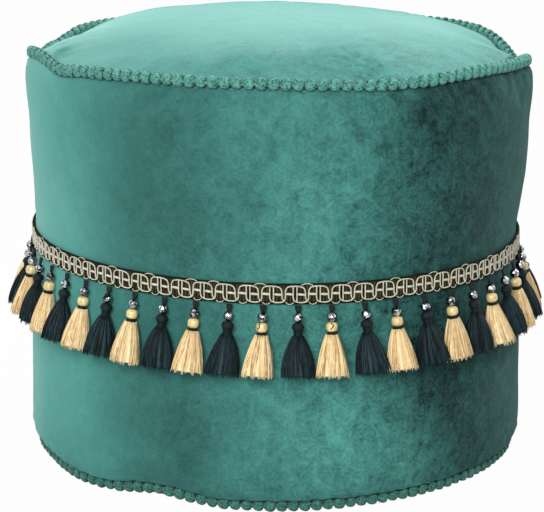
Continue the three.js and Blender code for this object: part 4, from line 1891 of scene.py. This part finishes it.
@dataclass(frozen=True)
class Tassel:
    """Sizes of one kind of tassel, measured down its own axis from where its cords are sewn."""

    yarn: Yarn
    cord_length: float = 0.0046
    bead_diameter: float = 0.0084
    head_width: float = 0.0098
    head_height: float = 0.0084
    neck_height: float = 0.0023
    neck_radius: float = 0.0041
    skirt_length: float = 0.0343
    skirt_top: float = 0.0050
    skirt_reach: float = 0.0127
    skirt_depth: float = 0.84
    flare: float = 1.7
    strands: int = 135
    strand_radius: float = 0.00058
    strand_shape: tuple[float, ...] = (0.75, 0.9, 1.0, 1.05, 1.05, 1.05, 1.05, 1.0, 0.85, 0.45)
    stray_share: float = 0.10
    stray_reach: float = 0.0016
    stray_sway: float = 0.0012
    crimp_depth: float = 0.0003
    flutes: int = 11
    cord_start: float = 0.0012
    cord_radius: float = 0.00108
    end_radius: float = 0.0004
    end_chance: float = 0.45

    def bead_middle(self) -> float:
        """Height of the metal bead's middle, below the pivot."""
        return -(self.cord_length + self.bead_diameter / 2)

    def head_top(self) -> float:
        """Height of the top of the wood bead or wound head."""
        return -(self.cord_length + self.bead_diameter)

    def neck_top(self) -> float:
        """Height of the top of the collar or neck."""
        return self.head_top() - self.head_height

    def skirt_start(self) -> float:
        """Height where the skirt leaves the collar or neck."""
        return self.neck_top() - self.neck_height

    def skirt_radius(self, share: Points) -> Points:
        """Radius of the skirt down its length: top + (reach - top) (1 - (1 - s)^flare)."""
        spread_share = 1 - (1 - share) ** self.flare
        return self.skirt_top + (self.skirt_reach - self.skirt_top) * spread_share

    def metal_bead(self) -> Shell:
        """A round bead with a small flat at each end of its bore.

        Returns:
            The bead.
        """
        tilt = np.radians(np.linspace(-80, 80, 11))
        half = self.bead_diameter / 2
        height = self.bead_middle() + half * np.sin(tilt)
        return Shell.rings(turned(half * np.cos(tilt), height, 18))

    def barrel(self, share: Points) -> tuple[Points, Points]:
        """Radius and height of the wood bead's face: half width times (1 - |s|^3)^(1/2.6).

        Args:
            share: How far up the bead, s, from -1 at its lower end to 1 at its upper end.

        Returns:
            The radii, and the heights below the pivot.
        """
        radius = self.head_width / 2 * (1 - np.abs(share) ** 3) ** (1 / 2.6)
        return radius, self.head_top() - self.head_height / 2 * (1 - share)

    def wood_bead(self) -> Shell:
        """The barrel of the wood bead, with flats at its bore."""
        return Shell.rings(turned(*self.barrel(np.sin(np.radians(np.linspace(-83, 83, 13)))), 20))

    def wound_head(self, rng: np.random.Generator) -> Shell:
        """A ball of wound yarn over a wound neck.

        The ball is round with turns that climb across it, radius (1 + d cos(k t + m h)), and
        the neck is a column with level turns.

        Args:
            rng: The tassel's own random numbers.

        Returns:
            The head and neck.
        """
        phase = rng.uniform(0, FULL_TURN)
        tilt = np.radians(np.linspace(-80, 80, 15))
        radius = np.cos(tilt) ** 0.8 * self.head_width / 2
        height = self.head_top() - self.head_height / 2 * (1 - np.sin(tilt))
        ball = turned(radius, height, 24)
        wound = 1 + 0.055 * np.cos(3 * ring_turns(24)[None] + tilt[:, None] * 7 + phase)
        ball[..., :2] *= wound[..., None]
        level = np.linspace(0, 1, 21)
        ripple = 1 + 0.05 * np.cos(FULL_TURN * 5 * level) - 0.1 * np.sin(math.pi * level)
        fall = self.neck_top() + 0.0006 - level * (self.neck_height + 0.0012)
        neck = turned(self.neck_radius * ripple, fall, 16)
        return Shell.joined([Shell.rings(ball), Shell.rings(neck)])

    def head(self, rng: np.random.Generator) -> Shell:
        """The wood bead of a gold tassel, or the wound head of a black one."""
        return self.wood_bead() if self.yarn is Yarn.GOLD else self.wound_head(rng)

    def threads(self, rng: np.random.Generator) -> Shell:
        """The cords from the braid into the bead, and a gold tassel's collar and end thread.

        Args:
            rng: The tassel's own random numbers.

        Returns:
            The threads.
        """
        apart = 0.0014 + 0.0004 * rng.random()
        shells = []
        for side in (-1, 0, 1):
            stops = (
                (side * apart, 0.0003, self.cord_start), (side * apart * 0.9, 0, -0.0010),
                (side * apart * 0.45, 0, -self.cord_length * 0.75),
                (side * 0.0004, 0, -self.cord_length), (side * 0.0003, 0, self.head_top()),
            )
            path = eased(stops, 4)
            rings = tube(path, self.cord_radius, 6, np.array([0.0, 1.0, 0.0]))
            shells.append(Shell.rings(rings, lengths=travelled(path)))
        if self.yarn is Yarn.GOLD:
            shells.append(self._collar())
            if rng.random() < self.end_chance:
                shells.append(self._end_thread(rng))
        return Shell.joined(shells)

    def _collar(self) -> Shell:
        """The wound collar of a gold tassel: three ripples down it, drawn in at both ends.

        Returns:
            The collar.
        """
        level = np.linspace(0, 1, 16)
        ripple = self.neck_radius * (1 + 0.06 * np.cos(FULL_TURN * 3 * level))
        ripple *= np.sin(math.pi * (0.06 + 0.88 * level)) ** 0.25
        height = self.neck_top() + 0.0002 - level * (self.neck_height + 0.0006)
        return Shell.rings(turned(ripple, height, 18))

    def _end_thread(self, rng: np.random.Generator) -> Shell:
        """A thread's end that lies over the front of the wood bead.

        Args:
            rng: The tassel's own random numbers.

        Returns:
            The thread.
        """
        turn = math.radians(rng.uniform(-70, 70))
        share = np.linspace(0.95, -0.3, 9)
        radius, height = self.barrel(share)
        radius = radius + 0.0003
        sway = turn + 0.18 * np.sin(5 * share)
        path = np.stack([radius * np.sin(sway), -radius * np.cos(sway), height], axis=1)
        rings = tube(path, self.end_radius, 5, unit(path * LEVEL))
        return Shell.rings(rings, lengths=travelled(path))

    def skirt(self, rng: np.random.Generator) -> Shell:
        """The skirt: a fluted core, and loose strands over it and at its ragged end.

        Args:
            rng: The tassel's own random numbers.

        Returns:
            The skirt.
        """
        drift = rng.normal(0, 0.0014, 2).clip(-0.0024, 0.0024)
        loose = self._strands(rng, drift)
        return Shell.joined([self._core(rng, drift), loose])

    def _strands(self, rng: np.random.Generator, drift: Points) -> Shell:
        """The loose strands.

        A strand goes down at its own angle and share of the skirt's radius, drifts sideways
        by a small sine, is crimped by a finer one, and ends a little short or long.

        Args:
            rng: The tassel's own random numbers.
            drift: How far the skirt's end lies to one side, along X and Y.

        Returns:
            The strands, each with its own number as U.
        """
        count = self.strands
        down = np.linspace(0, 1, len(self.strand_shape))[None]
        angle = FULL_TURN * (np.arange(count) * 0.618034 + rng.uniform(0, 0.4, count))
        outer = rng.random(count) < 0.7
        reach = np.where(outer, rng.uniform(0.93, 1.02, count), rng.uniform(0.35, 0.9, count))
        length = self.skirt_length * (1 + rng.normal(0, 0.026, count).clip(-0.08, 0.035))
        stray = (rng.random(count) < self.stray_share) * rng.uniform(0.4, 1.0, count)
        sway = rng.normal(0, 0.0006, (count, 1))
        sway = sway * np.sin(math.pi * (down * rng.uniform(0.8, 1.8, (count, 1))))
        crimp = rng.uniform(2.2, 3.6, (count, 1)) * down + rng.random((count, 1))
        sway = sway + self.crimp_depth * down * np.sin(FULL_TURN * crimp)
        sway = sway + self.stray_sway * stray[:, None] * down**2
        radius = self.skirt_radius(down) * reach[:, None]
        radius = radius + self.stray_reach * stray[:, None] * down**3
        along = np.stack([np.cos(angle), np.sin(angle)], axis=-1)[:, None, :]
        across = np.stack([-np.sin(angle), np.cos(angle)], axis=-1)[:, None, :]
        level = radius[..., None] * along + sway[..., None] * across
        level = level * np.array([1.0, self.skirt_depth]) + drift * down[..., None] ** 1.5
        fall = self.skirt_start() + 0.0004 - down * length[:, None]
        paths = np.concatenate([level, fall[..., None]], axis=-1)
        facing = np.concatenate([along, np.zeros_like(along[..., :1])], axis=-1)
        thickness = self.strand_radius * np.array(self.strand_shape)
        rings = tube(paths, thickness, 3, np.broadcast_to(facing, paths.shape))
        return Shell.rings(rings, numbers=rng.random(count))

    def _core(self, rng: np.random.Generator, drift: Points) -> Shell:
        """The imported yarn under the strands: the skirt's radius times (1 + d s cos(n t + p)).

        Args:
            rng: The tassel's own random numbers.
            drift: How far the skirt's end lies to one side, along X and Y.

        Returns:
            The core.
        """
        turn = ring_turns(3 * self.flutes)[None]
        share = np.array([0, 0.04, 0.12, 0.25, 0.4, 0.6, 0.8, 0.93, 0.97])[:, None]
        radius = self.skirt_radius(share) * np.minimum(1, 0.55 + 8 * share) * 0.93
        flute = np.cos(self.flutes * turn + rng.uniform(0, FULL_TURN))
        radius = radius * (1 + 0.05 * flute * share)
        level = np.stack([radius * np.cos(turn), radius * np.sin(turn) * self.skirt_depth], axis=-1)
        level = level + drift * share[..., None] ** 1.5
        fall = np.broadcast_to(self.skirt_start() - share * self.skirt_length * 0.98, radius.shape)
        rings = np.concatenate([level, fall[..., None]], axis=-1)
        return Shell.rings(rings, numbers=np.array([0.37]))


@dataclass
class TasselFringe:
    """Fifty tassels hung from the braid's lower edge, each on a body of its own."""

    form: DrumForm
    pairs: int = 25
    pivot_radius: float = 0.22356
    pivot_height: float = 0.1817
    rest_lean: float = 11.05
    first_azimuths: tuple[float, float] = (-2.7, 4.6)
    mean_sway: float = 1.2
    sway_swing: float = 2.6
    sway_spread: float = 0.9
    gold: Tassel = Tassel(Yarn.GOLD)
    black: Tassel = Tassel(
        Yarn.BLACK, head_width=0.0102, head_height=0.0072, neck_height=0.0038, neck_radius=0.0038,
        skirt_length=0.0338, skirt_top=0.0042, skirt_reach=0.0138, flare=2.0, strands=115,
        strand_radius=0.00062, stray_share=0.18,
    )

    def hung(self, shell: Shell, azimuth: float, sway: float, turn: float) -> Shell:
        """Hangs a shell that was made about its own axis.

        It is turned about that axis, swayed sideways about Y, leaned out about X, moved to
        the pivot and turned round the drum.

        Args:
            shell: The shell, with the pivot at its origin.
            azimuth: Where on the drum it hangs.
            sway: How far it hangs to one side.
            turn: How far it has turned about its own axis.

        Returns:
            The shell in its place.
        """

        def rotation(axis: int, angle: float) -> Points:
            """The matrix of a turn about one axis, 0 for X to 2 for Z.

            Args:
                axis: 0 for X, 1 for Y, 2 for Z.
                angle: The turn.

            Returns:
                The matrix.
            """
            first, second = (axis + 1) % 3, (axis + 2) % 3
            matrix = np.eye(3)
            cosine, sine = math.cos(math.radians(angle)), math.sin(math.radians(angle))
            matrix[first, first] = matrix[second, second] = cosine
            matrix[first, second], matrix[second, first] = -sine, sine
            return matrix

        own = rotation(0, -self.rest_lean) @ rotation(1, sway) @ rotation(2, turn)
        height = self.pivot_height + float(self.form.slant(azimuth))
        pivot = np.array([0, -self.pivot_radius, height])
        placed = (shell.points @ own.T + pivot) @ rotation(2, azimuth).T
        return Shell(placed, shell.faces, shell.uvs)

    def build(self, room: Workroom) -> list[bpy.types.Object]:
        """Makes every tassel: its threads, metal bead, head and skirt.

        Args:
            room: The workroom that makes the pieces.

        Returns:
            All the tassels' pieces.
        """
        thread = TwistedCord(
            "dark_thread", paint(4, 9, 9), paint(28, 38, 36), twists=7, gloss=0.7, shine=0.2
        )
        wound = TwistedCord(
            "wound_black_yarn", paint(4, 9, 12), paint(22, 34, 40),
            plies=0, twists=9, gloss=0.6, shine=0.2,
        )
        gold_yarn = StrandYarn(
            "gold_yarn", paint(136, 102, 58), paint(232, 200, 146), paint(254, 236, 190),
            paint(250, 232, 188),
        )
        black_yarn = StrandYarn(
            "black_yarn", paint(0, 2, 3), paint(1, 9, 12), paint(36, 64, 70), paint(10, 24, 28),
            gloss=0.6, fuzz_weight=0.05, fuzz=paint(80, 100, 110),
        )
        kinds = (
            (self.gold, PaleWood(), "bead_wood", gold_yarn, "gold_yarn"),
            (self.black, wound, "black_yarn", black_yarn, "black_yarn"),
        )
        made = []
        for kind, (tassel, head_finish, head_slot, yarn, yarn_slot) in enumerate(kinds):
            for number in range(self.pairs):
                body = f"{tassel.yarn.value}_tassel_{number + 1:02d}"
                rng = np.random.default_rng([7, number, kind])
                azimuth = self.first_azimuths[kind] + 360 / self.pairs * number
                swing = math.sin(math.radians(3 * azimuth) + 2.4)
                sway = self.mean_sway + self.sway_swing * swing
                sway, turn = sway + float(rng.normal(0, self.sway_spread)), rng.uniform(-25, 25)
                head = tassel.head(rng)
                parts = (
                    ("threads", tassel.threads(rng), thread, "black_yarn", 0.0, []),
                    ("metal_bead", tassel.metal_bead(), DarkBead(), "bead_metal", turn, []),
                    ("head", head, head_finish, head_slot, 0.0, []),
                    ("skirt", tassel.skirt(rng), yarn, yarn_slot, 0.0, [body]),
                )
                for part, shell, finish, slot, spin, nodes in parts:
                    hung = self.hung(shell, azimuth, sway, spin)
                    name = f"{body}_{part}"
                    made.append(room.piece(name, hung, finish, body, stands_for=nodes))
        return made


@dataclass
class BaseZip:
    """The closed coil zip in the base's pocket, and its slider."""

    length: float = 0.300
    tape_length: float = 0.314
    tape_width: float = 0.020
    tape_low: float = 0.0083
    tape_thickness: float = 0.0008
    coil_width: float = 0.006
    coil_height: float = 0.0022
    wire_radius: float = 0.00036
    turns: int = 150
    steps_per_turn: int = 7

    def tape(self) -> Shell:
        """The two tapes as one woven strip, slightly parted along the middle.

        Returns:
            The tape.
        """
        across = np.array([-1, -0.5, -0.03, 0, 0.03, 0.5, 1, 1, 0.5, 0, -0.5, -1])
        across = across[None] * self.tape_width / 2
        top = np.array([0, 0, 0, 0.5, 0, 0, 0, 1, 1, 1, 1, 1])[None] * self.tape_thickness
        along = np.linspace(-0.5, 0.5, 60)[:, None] * self.tape_length
        grid = np.broadcast_arrays(along, across, self.tape_low + top)
        return Shell.rings(np.stack(grid, axis=-1))

    def coil(self) -> Shell:
        """Two interlocked coils, half a turn apart, each a helix as flat as the teeth.

        Returns:
            The coils.
        """
        shells = []
        for side in (-1, 1):
            steps = self.turns * self.steps_per_turn
            share = np.linspace(0, 1, steps)
            turn = FULL_TURN * self.turns * share + (0 if side < 0 else math.pi)
            across = side * self.coil_width * 0.2 + self.coil_width * 0.27 * np.cos(turn)
            up = self.tape_low - self.coil_height / 2 + self.coil_height * 0.3 * np.sin(turn)
            path = np.stack([(share - 0.5) * self.length, across, up], axis=1)
            facing = unit(np.stack([np.zeros(steps), np.cos(turn), np.sin(turn)], axis=1))
            rings = tube(path, self.wire_radius, 5, facing)
            shells.append(Shell.rings(rings, lengths=travelled(path)))
        return Shell.joined(shells)

    def build(self, room: Workroom) -> list[bpy.types.Object]:
        """Makes the tape and the coils.

        Args:
            room: The workroom that makes the pieces.

        Returns:
            The two pieces.
        """
        nylon = PlainCloth(
            "zip_tape_weave", paint(44, 66, 62), paint(18, 34, 32), thread_size=0.0007
        )
        teeth = TwistedCord(
            "zip_coil_nylon", paint(20, 36, 34), paint(60, 84, 80), plies=0, twists=0.5, gloss=0.35
        )
        tape = room.piece("zip_tape", self.tape(), nylon, stands_for=["zip_chain"])
        return [tape, room.piece("zip_coils", self.coil(), teeth)]

    @staticmethod
    def dress_slider(slider: bpy.types.Object, room: Workroom) -> None:
        """Gives the frame's own slider its metal."""
        slider.data.materials.clear()
        slider.data.materials.append(room.finish(BrushedMetal()))


@dataclass(frozen=True)
class SoftBox:
    """A square studio lamp that faces the tuffet."""

    name: str
    azimuth: float
    elevation: float
    distance: float
    width: float
    power: float

    def place(self, target: Vector) -> None:
        """Hangs the lamp at its azimuth, elevation and distance from the target.

        Args:
            target: The point that it faces.
        """
        lamp = bpy.data.lights.new(self.name, "AREA")
        lamp.shape = "SQUARE"
        lamp.size = self.width
        lamp.energy = self.power
        holder = linked(self.name, lamp)
        level = Vector(outward(self.azimuth)) * math.cos(math.radians(self.elevation))
        reach = level + Vector((0, 0, math.sin(math.radians(self.elevation))))
        holder.location = target + reach * self.distance
        holder.rotation_euler = (-reach).to_track_quat("-Z", "Y").to_euler()


@dataclass
class Studio:
    """The camera at the photograph's angle, soft lamps, and a pale floor and backdrop."""

    photo_width: float = 544
    focal_pixels: float = 1981.5
    sensor: float = 36.0
    camera_place: tuple[float, float, float] = (-0.0015, -1.7661, 0.6403)
    camera_pitch: float = 15.086
    camera_yaw: float = 0.069
    camera_clip: tuple[float, float] = (0.05, 40.0)
    middle_height: float = 0.1925
    floor_radius: float = 9.0
    floor_drop: float = 0.0006
    floor_thickness: float = 0.01
    white_share: float = 0.975
    ambient: float = 0.10
    lamps: tuple[SoftBox, ...] = (
        SoftBox("key_lamp", -10, 26, 2.2, 1.0, 46),
        SoftBox("right_lamp", 112, 28, 2.3, 1.0, 13),
        SoftBox("left_lamp", -114, 28, 2.3, 1.0, 7),
        SoftBox("top_lamp", 172, 64, 1.9, 1.2, 35),
    )

    def camera(self) -> None:
        """Sets up the camera. The lens follows from the focal length in the photo's pixels."""
        data = bpy.data.cameras.new("photo_camera")
        data.sensor_width = self.sensor
        data.lens = self.sensor * self.focal_pixels / self.photo_width
        data.clip_start, data.clip_end = self.camera_clip
        holder = linked("photo_camera", data)
        holder.location = self.camera_place
        pitch, yaw = math.radians(90 - self.camera_pitch), math.radians(self.camera_yaw)
        holder.rotation_euler = (pitch, 0, yaw)
        bpy.context.scene.camera = holder

    def floor(self) -> None:
        """A round floor that shows white to the camera and still takes a faint shadow."""
        bench = FinishBench.named("pale_floor")
        seen = self._seen(bench)
        cloud = bench.noise(bench.place(), 0.4, detail=2)
        cloth = bench.mixed(cloud, paint(176, 176, 176), paint(184, 184, 184))
        matt = bench.node("ShaderNodeBsdfDiffuse", {}, {"Color": cloth})
        white = bench.node("ShaderNodeEmission", {}, {"Color": WHITE, "Strength": 1.0})
        share = seen * self.white_share
        mixed = bench.node("ShaderNodeMixShader", {}, {0: share, 1: matt, 2: white})
        bench.node("ShaderNodeOutputMaterial", {}, {"Surface": mixed})
        azimuth = spread(96)
        heights = (-self.floor_drop - self.floor_thickness, -self.floor_drop)
        rows = np.stack([around(azimuth, self.floor_radius, height) for height in heights])
        mesh = Shell.rings(rows).to_mesh("floor", crease=30)
        mesh.materials.append(bench.owner)
        linked("floor", mesh)

    @staticmethod
    def _seen(bench: FinishBench) -> Wire:
        """1 for rays from the camera, from gloss or through glass, and 0 for others."""
        path = bench.node("ShaderNodeLightPath", output="Is Camera Ray")
        return (path + path.also("Is Glossy Ray") + path.also("Is Transmission Ray")).held()

    def world(self) -> None:
        """A white surround that lights the tuffet only dimly."""
        world = bpy.data.worlds.new("studio")
        bpy.context.scene.world = world
        bench = FinishBench(world)
        dim = bench.node("ShaderNodeBackground", {}, {"Color": WHITE, "Strength": self.ambient})
        white = bench.node("ShaderNodeBackground", {}, {"Color": WHITE, "Strength": 1.0})
        mixed = bench.node("ShaderNodeMixShader", {}, {0: self._seen(bench), 1: dim, 2: white})
        bench.node("ShaderNodeOutputWorld", {}, {"Surface": mixed})

    def build(self) -> None:
        """Sets up the camera, the floor, the surround and the lamps."""
        self.camera()
        self.floor()
        self.world()
        target = Vector((0, 0, self.middle_height))
        for lamp in self.lamps:
            lamp.place(target)
        bpy.context.scene.view_settings.view_transform = "Standard"


def main() -> None:
    """Loads the frame, dresses it piece by piece and sets up the studio."""
    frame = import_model()
    room = Workroom()
    form = DrumForm()
    cover = VelvetCover(form)
    CushionFilling(cover).build(room)
    cover.build(room)
    for seam in Seam:
        BallTrim(form, seam).build(room)
    WaistBraid(form).build(room)
    TasselFringe(form).build(room)
    BaseZip().build(room)
    BaseZip.dress_slider(frame["nodes"]["zip_slider"], room)
    Studio().build()


if __name__ == "__main__":
    logging.basicConfig(level=logging.INFO)
    main()
